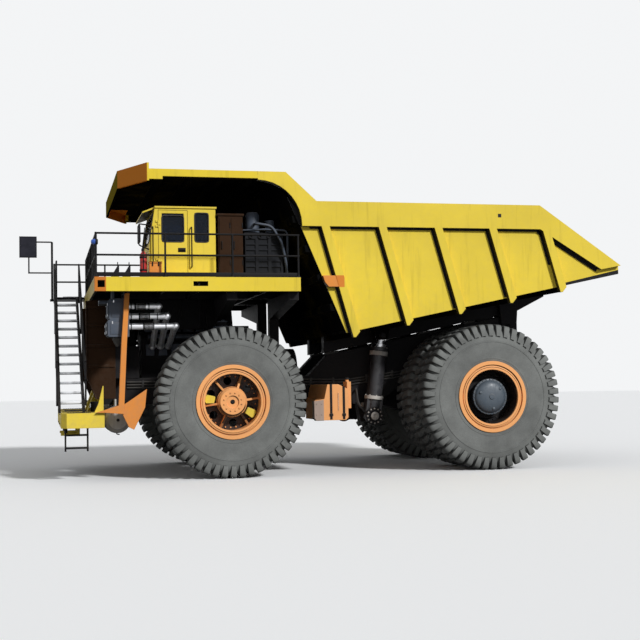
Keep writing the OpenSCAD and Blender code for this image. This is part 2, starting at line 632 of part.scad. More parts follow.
// Steering: a knuckle turns with the strut's rod and carries the wheel's spindle
module knuckle(s) sided(s) {
    translate([0, king_y, 1330]) cylinder(h = 870, d = 500);
    translate([0, king_y, 2100]) cylinder(h = strut_z - gap - 2100, d = 300);
    cross_bar(0, axle_z, king_y, front_tyre_y + 90, spindle_d);
    block([-tie_arm, 0], [king_y - 80, king_y + 80], [link_z - 140, link_z - 60]);
    translate([-tie_arm, king_y, link_z - 140]) cylinder(h = 80, d = 200);
    translate([-tie_arm, king_y, link_z - 140]) cylinder(h = 210, d = link_pin_d);
    block([-cyl_arm - 90, -cyl_arm + 90], [king_y - 200, king_y], [link_z - 140, link_z - 60]);
}
module knuckle_left() color(dark) placed() knuckle(1);
module knuckle_right() color(dark) placed() knuckle(-1);
module tie_rod() color(dark) placed() difference() {
    union() {
        cross_bar(-tie_arm, link_z, -king_y + 70, king_y - 70, 110);
        both() translate([-tie_arm, king_y, link_z - 50]) cylinder(h = 100, d = 170);
    }
    translate([-tie_arm, king_y, 0]) cylinder(h = 2000, d = link_pin_d + 2 * gap);
    translate([-tie_arm, -king_y, 0]) cylinder(h = 2000, d = 84);
}
cyl_eye_y = king_y - 100;
ram_d = 90;
module steer_barrel(s) sided(s) difference() {
    union() {
        translate([-cyl_arm, barrel_y, link_z - 50]) cylinder(h = 100, d = 170);
        cross_bar(-cyl_arm, link_z, barrel_y + 40, barrel_y + 840, 190);
    }
    translate([-cyl_arm, barrel_y, 0]) cylinder(h = 2000, d = link_pin_d + 2 * gap);
    cross_bar(-cyl_arm, link_z, barrel_y + 160, barrel_y + 900, ram_d + 2 * gap);
}
module steer_barrel_left() color(dark) placed() steer_barrel(1);
module steer_barrel_right() color(dark) placed() steer_barrel(-1);
module steer_rod(s) sided(s) {
    cross_bar(-cyl_arm, link_z, barrel_y + 500, cyl_eye_y - 40, ram_d);
    translate([-cyl_arm, cyl_eye_y, link_z - 50]) cylinder(h = 100, d = 180);
}
module steer_rod_left() color("silver") placed() steer_rod(1);
module steer_rod_right() color("silver") placed() steer_rod(-1);

// Wheels
function power(v, e) = sign(v) * pow(abs(v), e);
module about_axle(x, y) translate([x, y, axle_z]) rotate([-90, 0, 0]) children();
wall_h = (tyre_r - bead_d / 2) / 2;
module tyre() rotate_extrude($fn = 96) polygon([
    for (a = [0 : 12 : 348]) [tyre_r - wall_h + wall_h * power(cos(a), 0.45),
                              tyre_w / 2 * power(sin(a), 0.6)]]);
// Inner radius of the tyre's side wall at a distance from its middle
function bead_at(y) = tyre_r - wall_h - wall_h * pow(cos(asin(pow(2 * y / tyre_w, 1 / 0.6))), 0.45);
rim_r = bead_d / 2 - gap;
rim_in = rim_r - 65;
flange_y = tyre_w / 2 - 90;
bead_gap = 11;
rim_end = tyre_w / 2 - 5;
hub_d = 680;
function flange_at(y) = bead_at(y) - bead_gap;
// Half outline of the rim base beyond a place h on its axis: bead seat, flange, groove and inner band
function rim_edge(h) = [
    [rim_r, h + flange_y], [flange_at(flange_y), h + flange_y], [flange_at(flange_y + 30), h + flange_y + 30],
    [flange_at(flange_y + 53), h + flange_y + 53], [flange_at(flange_y + 53), h + rim_end],
    [rim_r + 55, h + rim_end], [rim_r + 50, h + flange_y + 28], [rim_r - 8, h + flange_y + 28],
    [rim_r - 12, h + rim_end - 10], [rim_in, h + rim_end - 10]];
function flipped(v) = [for (i = [len(v) - 1 : -1 : 0]) [v[i][0], -v[i][1]]];
// Front rim: base, hub with its bore and cap hole, and six gussets that carry the disc
module front_rim() {
    rotate_extrude($fn = 96) polygon(concat(flipped(rim_edge(0)), rim_edge(0)));
    difference() {
        union() {
            translate([0, 0, -260]) cylinder(h = 660, d = hub_d);
            translate([0, 0, 390]) cylinder(h = 70, d1 = hub_d, d2 = hub_d - 90);
        }
        translate([0, 0, -300]) cylinder(h = 400, d = spindle_d + 2 * gap);
        translate([0, 0, 425]) cylinder(h = 100, d = 300);
        translate([0, 0, 380]) cylinder(h = 100, d = 110);
    }
    for (i = [0 : 5]) rotate([0, 0, 7 + i * 60]) translate([0, 25, 0]) rotate([90, 0, 0])
        linear_extrude(50) polygon([
            [hub_d / 2 - 12, 0], [rim_in + 6, 0], [rim_in + 6, 200], [rim_in - 120, 240],
            [hub_d / 2 - 12, 385]]);
    difference() {
        translate([0, 0, 0]) cylinder(h = 60, r = rim_in + 5);
        translate([0, 0, -10]) cylinder(h = 80, d = hub_d - 40);
        for (i = [0 : 5]) rotate([0, 0, 37 + i * 60]) translate([500, 0, -10]) cylinder(h = 80, d = 190);
    }
}
module front_tyre_left() color([0.25, 0.25, 0.25]) placed() about_axle(0, front_tyre_y) tyre();
module front_tyre_right() color([0.25, 0.25, 0.25]) placed() about_axle(0, -front_tyre_y) tyre();
module front_rim_left() color("orange") placed() about_axle(0, front_tyre_y) front_rim();
module front_rim_right() color("orange") placed() mirror([0, 1, 0]) about_axle(0, front_tyre_y) front_rim();
module rear_tyres(s) sided(s) for (u = [-1, 1]) about_axle(rear_x, rear_pair_y + u * pair_pitch / 2) tyre();
module rear_tyres_left() color([0.25, 0.25, 0.25]) placed() rear_tyres(1);
module rear_tyres_right() color([0.25, 0.25, 0.25]) placed() rear_tyres(-1);
module rear_rims(s) sided(s) about_axle(rear_x, rear_pair_y) {
    h = pair_pitch / 2;
    rotate_extrude($fn = 96) polygon(concat(flipped(rim_edge(h)), rim_edge(h), [
        [rim_in, h - 60], [450 + gap, h - 60], [450 + gap, h - 180], [rim_in, h - 180]]));
    // Cover of the hub's gears: a drum with a domed end that stands almost to the rim's edge
    rotate_extrude() polygon([
        [0, h - 120], [450 + gap + 5, h - 120], [450 + gap + 5, h - 70], [410, h - 60], [410, h + 290],
        [435, h + 295], [435, h + 335], [400, h + 340], [375, h + 385], [310, h + 425], [180, h + 455],
        [0, h + 465]]);
}
module rear_rims_left() color("orange") placed() rear_rims(1);
module rear_rims_right() color("orange") placed() rear_rims(-1);

// Hoist cylinders in two stages, from the frame up to the bed
hoist_l = norm([eye_x - hoist_x, eye_z - hoist_z]);
hoist_lean = atan2(eye_x - hoist_x, eye_z - hoist_z);
stage_d = hoist_d - 80;
rod_d = hoist_d - 160;
eye_half = rod_d / 2 + 6;
module hoist_axis() both() translate([hoist_x, hoist_y, hoist_z]) rotate([0, hoist_lean, 0]) children();
module hoist_barrels() color(dark) placed() hoist_axis() difference() {
    union() {
        translate([0, 0, 110]) cylinder(h = hoist_l - 415, d = hoist_d);
        rotate([90, 0, 0]) translate([0, 0, -150]) cylinder(h = 300, d = 360);
        // Foot casting, clamp ring and the gland at the top
        block([-hoist_d / 2 - 10, hoist_d / 2 + 10], [-150, 150], [90, 420]);
        translate([0, 0, 440]) cylinder(h = 60, d = hoist_d + 70);
        translate([0, 0, hoist_l - 395]) cylinder(h = 90, d = hoist_d + 50);
    }
    translate([0, 0, 225]) cylinder(h = hoist_l, d = stage_d + 2 * gap);
    rotate([90, 0, 0]) translate([0, 0, -200]) cylinder(h = 400, d = hoist_pin_d + 2 * gap);
}
module hoist_stages() color("silver") placed() hoist_axis() difference() {
    translate([0, 0, 230]) cylinder(h = hoist_l - 455, d = stage_d);
    translate([0, 0, 255]) cylinder(h = hoist_l, d = rod_d + 2 * gap);
}
module hoist_rods() color("silver") placed() hoist_axis() {
    translate([0, 0, 260]) cylinder(h = hoist_l - 340, d = rod_d);
    translate([0, 0, hoist_l]) rotate([90, 0, 0]) translate([0, 0, -eye_half])
        cylinder(h = 2 * eye_half, d = 260);
}

// The bed
band_z = side_z - band_h;
corner_x = tail_x + 2160;
arc_r = 1050;
arc_x = -600;
arc_z = band_z + 30;
wing_y = bed_y + plate + rib_out;
tip_z = floor_at(tail_x) + 200;
function wall_at(z) = -bed_front + (z - floor_z) * tan(wall_rake);
function arc_points() = [for (a = [180 : -10 : 90]) [arc_x + arc_r * cos(a), arc_z + arc_r * sin(a)]];
module band_outline() polygon(concat(
    [[wall_at(band_z), band_z]], arc_points(),
    [[arc_x, canopy_z], [arc_x - 670, canopy_z], [-2010, side_z], [corner_x, side_z], [tail_x, tip_z],
     [tail_x + 540, tip_z - 100], [corner_x, band_z]]));
module skin_outline() {
    polygon([[-bed_front, floor_z], [wall_at(band_z), band_z], [wall_at(band_z), side_z], [corner_x, side_z],
             [tail_x, tip_z], [tail_x, floor_at(tail_x)]]);
    band_outline();
}
function rib_foot(x) = (floor_z + tan(floor_rise) * (-bed_front - x + band_z * tan(rib_rake)))
    / (1 + tan(floor_rise) * tan(rib_rake));
function rake_at(x, z) = x - (band_z - z) * tan(rib_rake);
module rib_outline(x) {
    a = x + rib_w / 2;
    b = x - rib_w / 2;
    toe = rib_foot(a) - 130;
    polygon([
        [a, band_z + 1], [rake_at(a, toe), toe], [rake_at(a, toe) - 60, toe],
        [rake_at(b, rib_foot(b) - 40), rib_foot(b) - 40], [b, band_z + 1]]);
}
rib_n = 4;
module bed_sides() color(yellow) placed() both() {
    side_plate(bed_y, bed_y + plate) skin_outline();
    side_plate(bed_y + plate, wing_y) band_outline();
    for (i = [0 : rib_n - 1]) side_plate(bed_y + plate, wing_y) rib_outline(-rib_first - i * rib_pitch);
    side_plate(bed_y + plate, wing_y) intersection() {
        rib_outline(-rib_first - rib_n * rib_pitch);
        union() {
            skin_outline();
            translate([tail_x, floor_z]) square([corner_x - tail_x, 1200]);
        }
    }
    // Bracket between the front wall's edge and the first rib
    side_plate(bed_y + plate - 5, wing_y - 12) polygon([
        [wall_at(4720) + 20, 4740], [rake_at(-rib_first, 4740) + 30, 4740],
        [rake_at(-rib_first, 4480) + 30, 4480], [wall_at(4500) - 30, 4480], [wall_at(4600) + 20, 4590]]);
}
// Floor plate, its bolsters between the beams, and the cheeks round the hoist rods' eyes
module bed_floor() color(yellow) placed() {
    side_plate(-bed_y, bed_y) polygon([
        [-bed_front, floor_z], [tail_x, floor_at(tail_x)], [tail_x, floor_at(tail_x) + plate],
        [-bed_front, floor_z + plate]]);
    for (i = [0 : rib_n]) {
        top = -rib_first - i * rib_pitch;
        x = rake_at(top, rib_foot(top)) - 20;
        for (y = [[-bed_y, -beam_out], [-beam_in, beam_in], [beam_out, bed_y]])
            side_plate(y[0], y[1]) polygon([
                [x - 100, floor_at(x - 100) + weld], [x + 100, floor_at(x + 100) + weld],
                [x + 80, floor_at(x + 80) - bolster_h],
                [x - 80, floor_at(x - 80) - bolster_h]]);
    }
    both() for (y = [hoist_y - eye_half - 50, hoist_y + eye_half + 10]) side_plate(y, y + 40) polygon([
        [eye_x - 260, floor_at(eye_x - 260) + weld], [eye_x + 260, floor_at(eye_x + 260) + weld],
        [eye_x + 130, eye_z - 110], [eye_x - 130, eye_z - 110]]);
    both() for (y = [hoist_y - eye_half - 75, hoist_y + eye_half + 45])
        cross_bar(eye_x, eye_z, y, y + 30, 180);
}
// Beams that rest on the frame, with the ears on the hinge pins
module bed_beams() color(yellow) placed() both() {
    side_plate(beam_in, beam_out) polygon([
        [-bed_front - 60, floor_at(-bed_front - 60) - gap], [tail_x + 900, floor_at(tail_x + 900) - gap],
        [tail_x + 900, floor_at(tail_x + 900) - 200], [hinge_x - 300, floor_at(hinge_x - 300) - beam_h],
        [-bed_front - 60, floor_at(-bed_front - 60) - beam_h]]);
    for (y = [rail_in - 90, rail_out + 12]) difference() {
        union() {
            cross_bar(hinge_x, hinge_z, y, y + 78, 420);
            side_plate(y, y + 78) polygon([
                [hinge_x - 208, hinge_z], [hinge_x + 208, hinge_z],
                [hinge_x + 280, floor_at(hinge_x + 280) - gap],
                [hinge_x - 280, floor_at(hinge_x - 280) - gap]]);
        }
        cross_bar(hinge_x, hinge_z, y - 10, y + 90, hinge_pin_d + 2 * gap);
    }
}
module bed_front_wall() color(yellow) placed() {
    t = plate / cos(wall_rake);
    top = canopy_z - 60;
    side_plate(-bed_y, bed_y) polygon([
        [-bed_front, floor_z + plate], [wall_at(top), top], [wall_at(top) - t, top],
        [-bed_front - t, floor_at(-bed_front - t) + plate]]);
    for (z = [3900 : 700 : 6000]) side_plate(-bed_y, bed_y) polygon([
        [wall_at(z) - 20, z], [wall_at(z) + 150, z + 20], [wall_at(z + 200) + 90, z + 180],
        [wall_at(z + 200) - 20, z + 200]]);
}
module canopy_plan(t) polygon([
    [arc_x, wing_y - t], [1990 - t / 2, wing_y - t], [canopy_x - t, 2480 - t / 3],
    [canopy_x - t, -2480 + t / 3], [1990 - t / 2, -wing_y + t], [arc_x, -wing_y + t]]);
module bed_canopy() color(yellow) placed() {
    t = plate / cos(wall_rake);
    block([wall_at(canopy_z - 60) - t, arc_x + 10], [-bed_y, bed_y], [canopy_z - 60, canopy_z]);
    translate([0, 0, canopy_z - 60]) linear_extrude(60) canopy_plan(0);
    both() block([arc_x, 1990], [bed_y - 60, wing_y], [canopy_z - 170, canopy_z - 50]);
    both() block([1630, 1990], [bed_y - 60, wing_y], [canopy_z - 240, canopy_z - 160]);
    // Flange round the front edge
    translate([0, 0, canopy_z - 280]) linear_extrude(420) difference() {
        canopy_plan(0);
        canopy_plan(50);
        translate([arc_x - 10, -4000]) square([1940 - arc_x + 10, 8000]);
    }
    for (x = [-500 : 700 : 1700])
        block([x, x + 120], [-bed_y + 60, bed_y - 60], [canopy_z - 230, canopy_z - 50]);
}

frame_rails();
front_collar();
cross_members();
deck_arms();
bumper();
suspension_struts();
rear_axle();
bed_pads();
engine_block();
radiator();
grille_guard();
fuel_tank();
hydraulic_tank();
air_tanks();
deck_left();
deck_centre();
deck_right();
fender_posts();
air_cleaners();
intake_pipes();
headlamps();
handrails();
front_stairs();
stair_rails();
bottom_ladder();
far_mirror();
cab_shell();
cab_glass();
cab_interior();
cab_door();
door_glass();
control_cabinet();
grid_box();
knuckle_left();
knuckle_right();
tie_rod();
steer_barrel_left();
steer_barrel_right();
steer_rod_left();
steer_rod_right();
front_tyre_left();
front_tyre_right();
front_rim_left();
front_rim_right();
rear_tyres_left();
rear_tyres_right();
rear_rims_left();
rear_rims_right();
hoist_barrels();
hoist_stages();
hoist_rods();
bed_floor();
bed_beams();
bed_sides();
bed_front_wall();
bed_canopy();
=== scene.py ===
# %% [markdown]
# # Dressing a rigid mining dump truck
#
# The engineering model gives every sub-part its exact size, place and joint. This lesson adds the
# looks around it: tyre treads, wheel nuts, glass, hoses, gratings and dusty paint. Nothing here moves
# or resizes the frame. All lengths are metres, +X is the front of the truck, +Y its left side, +Z up.

# %% Load the frame
import json
import math

import bmesh
import bpy
from mathutils import Matrix, Vector


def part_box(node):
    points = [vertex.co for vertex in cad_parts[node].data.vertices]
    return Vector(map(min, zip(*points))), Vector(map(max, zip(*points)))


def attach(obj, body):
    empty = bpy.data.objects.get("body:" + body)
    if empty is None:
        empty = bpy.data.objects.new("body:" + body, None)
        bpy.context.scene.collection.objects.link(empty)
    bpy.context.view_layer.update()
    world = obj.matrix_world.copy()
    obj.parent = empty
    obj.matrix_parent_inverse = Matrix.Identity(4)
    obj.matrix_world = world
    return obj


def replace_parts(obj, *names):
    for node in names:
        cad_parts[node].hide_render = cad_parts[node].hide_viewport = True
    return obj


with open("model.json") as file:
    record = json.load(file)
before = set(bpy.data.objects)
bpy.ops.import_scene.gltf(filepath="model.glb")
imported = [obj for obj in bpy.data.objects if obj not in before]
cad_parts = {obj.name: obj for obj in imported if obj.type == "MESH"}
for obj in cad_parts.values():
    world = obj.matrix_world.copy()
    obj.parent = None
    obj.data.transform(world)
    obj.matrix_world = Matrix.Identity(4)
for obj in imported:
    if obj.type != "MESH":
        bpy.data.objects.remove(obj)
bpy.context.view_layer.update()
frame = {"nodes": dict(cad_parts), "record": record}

nodes = frame["nodes"]
slot_of = {part["node"]: part["material_slot"] for part in frame["record"]["subparts"]}

# %% [markdown]
# ## The camera
#
# The camera stands far to the front left with a long lens, so the truck shows its left side with
# hardly any perspective. The place and the lens were solved from wheel centres and roof corners. The
# camera could be aimed with a Track To constraint, but a plain matrix is exact and also holds the
# slight roll of a hand-held picture.

# %% Camera
CAMERA_PLACE = Vector((6.833, 30.506, 2.228))
CAMERA_AIM = Vector((-0.209, 1.070, 3.829))
CAMERA_LENS, SENSOR = 65.7, 36.0          # mm
CAMERA_ROLL = math.radians(-1.0)


def look(place, aim, roll):
    """A camera matrix that looks from place to aim, turned by roll about the line of sight."""
    ahead = (aim - place).normalized()
    right = ahead.cross(Vector((0, 0, 1))).normalized()
    up = right.cross(ahead)
    turned_right = right * math.cos(roll) + up * math.sin(roll)
    turned_up = up * math.cos(roll) - right * math.sin(roll)
    turn = Matrix((turned_right, turned_up, -ahead)).transposed()
    return Matrix.Translation(place) @ turn.to_4x4()


camera = bpy.data.objects.new("camera", bpy.data.cameras.new("camera"))
bpy.context.scene.collection.objects.link(camera)
camera.data.lens = CAMERA_LENS
camera.data.sensor_width = SENSOR
camera.data.clip_end = 500.0
camera.matrix_world = look(CAMERA_PLACE, CAMERA_AIM, CAMERA_ROLL)
bpy.context.scene.camera = camera
print("camera at", tuple(CAMERA_PLACE), "lens", CAMERA_LENS)

# %% [markdown]
# ## Places
#
# A truck is drawn from its front axle, so every piece below gives its places from there: x forward,
# y out to the left, z up from the ground. A home matrix carries these places to the frame. Most pieces
# come in pairs, so there is a second home that mirrors them to the right side.

# %% Homes
def middle(node):
    low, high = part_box(node)
    return (low + high) / 2


FRONT_AXLE = middle("front_tyre_left").x
REAR = middle("rear_tyres_left").x - FRONT_AXLE
ORIGIN = (Matrix(),)                      # for an item that a tree repeats
LEFT = (Matrix.Translation((FRONT_AXLE, 0, 0)),)
RIGHT = (LEFT[0] @ Matrix.Diagonal((1, -1, 1, 1)),)
BOTH = LEFT + RIGHT
SIDES = {"left": LEFT, "right": RIGHT}
print("front axle at", round(FRONT_AXLE, 3), "rear axle", round(REAR, 3), "from it")

# %% [markdown]
# ## A small language for node trees
#
# Every finish below is a tree of shader nodes. Writing each node and link by hand takes four lines
# a node, so a tiny helper makes a node from its type and its inputs: a socket is linked, anything
# else is set as the socket's value, and names with a leading underscore set the node's own options.
# i0, i1 and so on stand for an input's number, because some nodes have two inputs of the same name.

# %% Node helper
class Tree:
    """Adds nodes to a node tree and links them in one call each."""

    def __init__(self, tree):
        self.tree = tree

    def add(self, kind, out=0, **inputs):
        node = self.tree.nodes.new(kind)
        for key, value in inputs.items():
            if key.startswith("_"):
                setattr(node, key[1:], value)
        for key, value in inputs.items():
            if not key.startswith("_"):
                self.put(node, key, value)
        return node.outputs[out]

    def put(self, node, key, value):
        slot = node.inputs[int(key[1:])] if key[1:].isdigit() else node.inputs[key.replace("__", " ")]
        if isinstance(value, bpy.types.NodeSocket):
            self.tree.links.new(value, slot)
        else:
            slot.default_value = value

    def maths(self, operation, a, b=0.0, clamp=False):
        return self.add("ShaderNodeMath", _operation=operation, _use_clamp=clamp, i0=a, i1=b)

    def times(self, a, b, clamp=False):
        return self.maths("MULTIPLY", a, b, clamp)

    def ramp(self, value, low, high, to_low=0.0, to_high=1.0):
        """Turns the span low..high of a value into to_low..to_high, without going past them."""
        return self.add("ShaderNodeMapRange", Value=value, From__Min=low, From__Max=high,
                        To__Min=to_low, To__Max=to_high)

    def mix(self, share, a, b):
        """Colour a where share is 0 and colour b where it is 1."""
        return self.add("ShaderNodeMix", out=2, _data_type="RGBA", i0=share, i6=a, i7=b)

    def noise(self, coords, scale, detail=3.0, roughness=0.5):
        return self.add("ShaderNodeTexNoise", Vector=coords, Scale=scale, Detail=detail, Roughness=roughness)

    def axis(self, vector, axis):
        """One part of a vector: 0 is x, 1 is y and 2 is z."""
        return self.add("ShaderNodeSeparateXYZ", out=axis, Vector=vector)


# %% Material helper
class Surface(Tree):
    """A new material with its Principled shader and its Object coordinates."""

    def __init__(self, name, **inputs):
        self.material = bpy.data.materials.new(name)
        self.material.use_nodes = True
        super().__init__(self.material.node_tree)
        self.coords = self.add("ShaderNodeTexCoord", out=3)
        self.give(**inputs)

    def give(self, **inputs):
        for key, value in inputs.items():
            self.put(self.tree.nodes["Principled BSDF"], key, value)

    def facing(self, axis):
        """How far the object's own surface looks along an axis."""
        return self.axis(self.add("ShaderNodeTexCoord", out=1), axis)

    def bump(self, height, strength, distance, **inputs):
        self.give(Normal=self.add("ShaderNodeBump", Height=height, Strength=strength, Distance=distance,
                                  **inputs))


def shade(red, green, blue):
    return (red, green, blue, 1.0)


def dimmed(colour, share):
    return shade(*(c * share for c in colour[:3]))


print("node and material helpers ready")


# %% [markdown]
# ## Paint that works in a mine
#
# The truck is new but works in dry dust and soot. Its paint is satin, a little uneven, greyed by
# dust on everything that faces up, and streaked where rain ran down the plates. One function makes
# all the paints: the dust comes from noise times the upward part of the object's own normal, so it
# stays on the same plates when the bed tips. The same function paints shade: faces that look down,
# and on some paints faces that look forward, turn near black. Edges lose some colour, which the Bevel
# node finds.

# %% Paint
DUST = shade(0.30, 0.255, 0.205)
SOOT_AND_SHADE = shade(0.006, 0.006, 0.006)
WORN = shade(0.30, 0.27, 0.24)
EDGE_ROUND = 0.018


def paint(name, colour, shine=0.42, dust=0.5, soot=0.25, wear=0.35, under=0.96, ahead=0.0, gloss=0.22,
          lit=-0.08):
    """under and ahead set how black the painted shade makes the faces that look down and forward. lit is
    how far up a face has to look to stay out of that painted shade."""
    coat = Surface(name, Specular__IOR__Level=gloss)
    up, forward, height = coat.facing(2), coat.facing(0), coat.axis(coat.coords, 2)
    broad = coat.noise(coat.coords, 0.45, 4.0, 0.6)
    fine = coat.noise(coat.coords, 7.0, 6.0, 0.65)
    streak_space = coat.add("ShaderNodeMapping", Vector=coat.coords, Scale=(5.0, 5.0, 0.35))
    streak = coat.noise(streak_space, 1.4, 4.0, 0.6)
    tint = coat.mix(coat.ramp(broad, 0.35, 0.70), colour, dimmed(colour, 0.86))
    low = coat.ramp(height, 0.6, 4.5, 0.45, 0.0)
    lying = coat.times(coat.ramp(up, 0.25, 0.95), 0.75)
    reach = coat.maths("ADD", coat.maths("ADD", low, lying), 0.16)
    patch = coat.times(reach, coat.ramp(fine, 0.30, 0.72))
    dusty = coat.mix(coat.times(patch, dust, True), tint, DUST)
    run = coat.times(coat.ramp(streak, 0.56, 0.80), soot, True)
    # Painted shade: faces that look down, and forward where ahead is set, turn near black.
    below = coat.maths("MAXIMUM", coat.times(coat.ramp(up, lit, lit - 0.28), under),
                       coat.times(coat.ramp(forward, 0.15, 0.55), ahead))
    painted_shade = coat.times(below, coat.ramp(broad, 0.25, 0.45, 0.90, 1.0), True)
    streaked_and_shaded = coat.mix(coat.maths("MAXIMUM", run, painted_shade), dusty, SOOT_AND_SHADE)
    rounded = coat.add("ShaderNodeBevel", _samples=4, Radius=EDGE_ROUND)
    sharp = coat.add("ShaderNodeNewGeometry", out=1)
    agree = coat.add("ShaderNodeVectorMath", out=1, _operation="DOT_PRODUCT", i0=rounded, i1=sharp)
    edge = coat.times(coat.ramp(agree, 0.985, 0.90), coat.ramp(fine, 0.42, 0.62))
    final = coat.mix(coat.times(edge, wear, True), streaked_and_shaded, WORN)
    coat.give(Base__Color=final, Roughness=coat.ramp(patch, 0.0, 0.6, shine, 0.85))
    coat.bump(coat.noise(coat.coords, 26.0, 3.0), 0.10, 0.01, Normal=rounded)
    return coat.material


# %% The paints
YELLOW = shade(0.90, 0.68, 0.055)
# under, ahead and lit set painted shade: every paint turns downward faces near black, and the canopy, bed
# floor, rib, deck and front wall paints turn forward faces black too.
PAINTS = {
    "yellow_paint": dict(colour=YELLOW),
    "shaded_yellow": dict(colour=YELLOW, under=1.0, ahead=1.0, gloss=0.0),
    "canopy_paint": dict(colour=YELLOW, under=1.0, ahead=0.70, gloss=0.0),
    "bed_floor_paint": dict(colour=YELLOW, under=1.0, ahead=1.0, gloss=0.0, lit=0.85),
    "deck_yellow": dict(colour=YELLOW, ahead=0.50, gloss=0.10),
    "bed_rib_paint": dict(colour=YELLOW, under=1.0, ahead=0.96, gloss=0.16),
    "orange_paint": dict(colour=shade(0.84, 0.29, 0.045)),
    "rim_paint": dict(colour=shade(0.98, 0.43, 0.14), shine=0.35, dust=0.20, soot=0.05, gloss=0.4),
    "dark_paint": dict(colour=shade(0.014, 0.014, 0.016), shine=0.5, dust=0.10, soot=0.0, wear=0.15,
                       gloss=0.07),
    "grey_paint": dict(colour=shade(0.075, 0.095, 0.130), soot=0.1),
    "dusty_grey": dict(colour=shade(0.62, 0.59, 0.55), dust=0.3, under=0.3, gloss=0.1),
    "guard_paint": dict(colour=shade(0.46, 0.34, 0.28), dust=0.4, soot=0.1),
    "cover_paint": dict(colour=shade(0.045, 0.065, 0.088), shine=0.30, dust=0.10, soot=0.0, under=0.3,
                        gloss=0.6),
    "hoist_paint": dict(colour=shade(0.030, 0.030, 0.034), shine=0.20, dust=0.08, soot=0.0, wear=0.2,
                        under=0.3, gloss=0.45),
    "brown_paint": dict(colour=shade(0.036, 0.016, 0.007), dust=0.10, soot=0.1, wear=0.15, gloss=0.05),
}
finish = {name: paint(name, **look_of) for name, look_of in PAINTS.items()}
print("paints:", ", ".join(finish))

# %% [markdown]
# ## Metal, rubber and glass
#
# The other finishes are shorter trees. Bare metal gets a grain and patches of grime, rubber and
# plastic a fine skin with dust on top, and glass a thin film of dust. Tyres are grey on their walls
# and rubbed dark on the tread, which their own normal tells apart.

# %% Plain metals, plastic and glass
def bare_metal(name, colour, rough, lines=0.04):
    metal = Surface(name, Metallic=1.0)
    stretched = metal.add("ShaderNodeMapping", Vector=metal.coords, Scale=(3.0, 3.0, 30.0))
    grime = metal.noise(metal.coords, 2.2, 5.0, 0.6)
    metal.give(Base__Color=metal.mix(metal.ramp(grime, 0.45, 0.75), colour, dimmed(colour, 0.45)),
               Roughness=metal.ramp(grime, 0.3, 0.8, rough, rough + 0.3))
    metal.bump(metal.noise(stretched, 3.0, 5.0), lines, 0.01)
    return metal.material


def moulded(name, colour, rough, grain=60.0, dust=0.3):
    """Rubber and plastic: a fine grain, with dust on what faces up."""
    skin = Surface(name)
    fine = skin.noise(skin.coords, 5.0, 6.0, 0.65)
    share = skin.times(skin.ramp(skin.facing(2), -0.3, 0.9, 0.25, 1.0),
                       skin.ramp(fine, 0.35, 0.75))
    powder = skin.times(share, dust, True)
    skin.give(Base__Color=skin.mix(powder, colour, DUST), Roughness=skin.ramp(powder, 0.0, 0.5, rough, 0.9))
    skin.bump(skin.noise(skin.coords, grain, 4.0), 0.15, 0.004)
    return skin.material


def pane(name, colour, dust=0.15, bend=1.45):
    """Safety glass: mostly clear, with a film of dust that is thicker in patches."""
    glass = Surface(name, IOR=bend, Transmission__Weight=0.85)
    film = glass.ramp(glass.noise(glass.coords, 3.0, 5.0, 0.6), 0.45, 0.8, 0.0, dust)
    glass.give(Base__Color=glass.mix(film, colour, DUST), Roughness=glass.ramp(film, 0.0, dust, 0.04, 0.35))
    return glass.material


# %% Tyre rubber and seat cloth
def tyre_rubber():
    """Side walls are grey with dry dust, and the tread is rubbed dark between its lugs."""
    skin = Surface("tyre", Roughness=0.88, Specular__IOR__Level=0.3)
    wall = skin.ramp(skin.maths("ABSOLUTE", skin.facing(1)), 0.35, 0.90, 0.45, 1.0)
    cloud = skin.ramp(skin.noise(skin.coords, 1.6, 6.0, 0.62), 0.30, 0.70, 0.55, 1.0)
    speck = skin.ramp(skin.noise(skin.coords, 38.0, 4.0, 0.7), 0.30, 0.75, 0.75, 1.0)
    powder = skin.times(skin.times(wall, cloud), speck, True)
    skin.give(Base__Color=skin.mix(powder, shade(0.030, 0.030, 0.030), shade(0.240, 0.250, 0.240)))
    skin.bump(skin.noise(skin.coords, 55.0, 4.0), 0.2, 0.004)
    return skin.material


def seat_cloth():
    """Woven cloth: two crossed waves of thread over a soft mottle."""
    cloth = Surface("seat_cloth", Roughness=0.92, Sheen__Weight=0.35)
    warp, weft = [cloth.add("ShaderNodeTexWave", out=1, Vector=cloth.coords, Scale=110.0, Distortion=0.6,
                            _bands_direction=way) for way in "XY"]
    weave = cloth.times(warp, weft)
    mottle = cloth.ramp(cloth.noise(cloth.coords, 30.0, 4.0), 0.35, 0.7)
    mottled = cloth.mix(mottle, shade(0.030, 0.034, 0.045), shade(0.060, 0.066, 0.082))
    cloth.give(Base__Color=cloth.mix(cloth.ramp(weave, 0, 1, 0, 0.5), mottled, shade(0.016, 0.018, 0.024)))
    cloth.bump(weave, 0.4, 0.002)
    return cloth.material


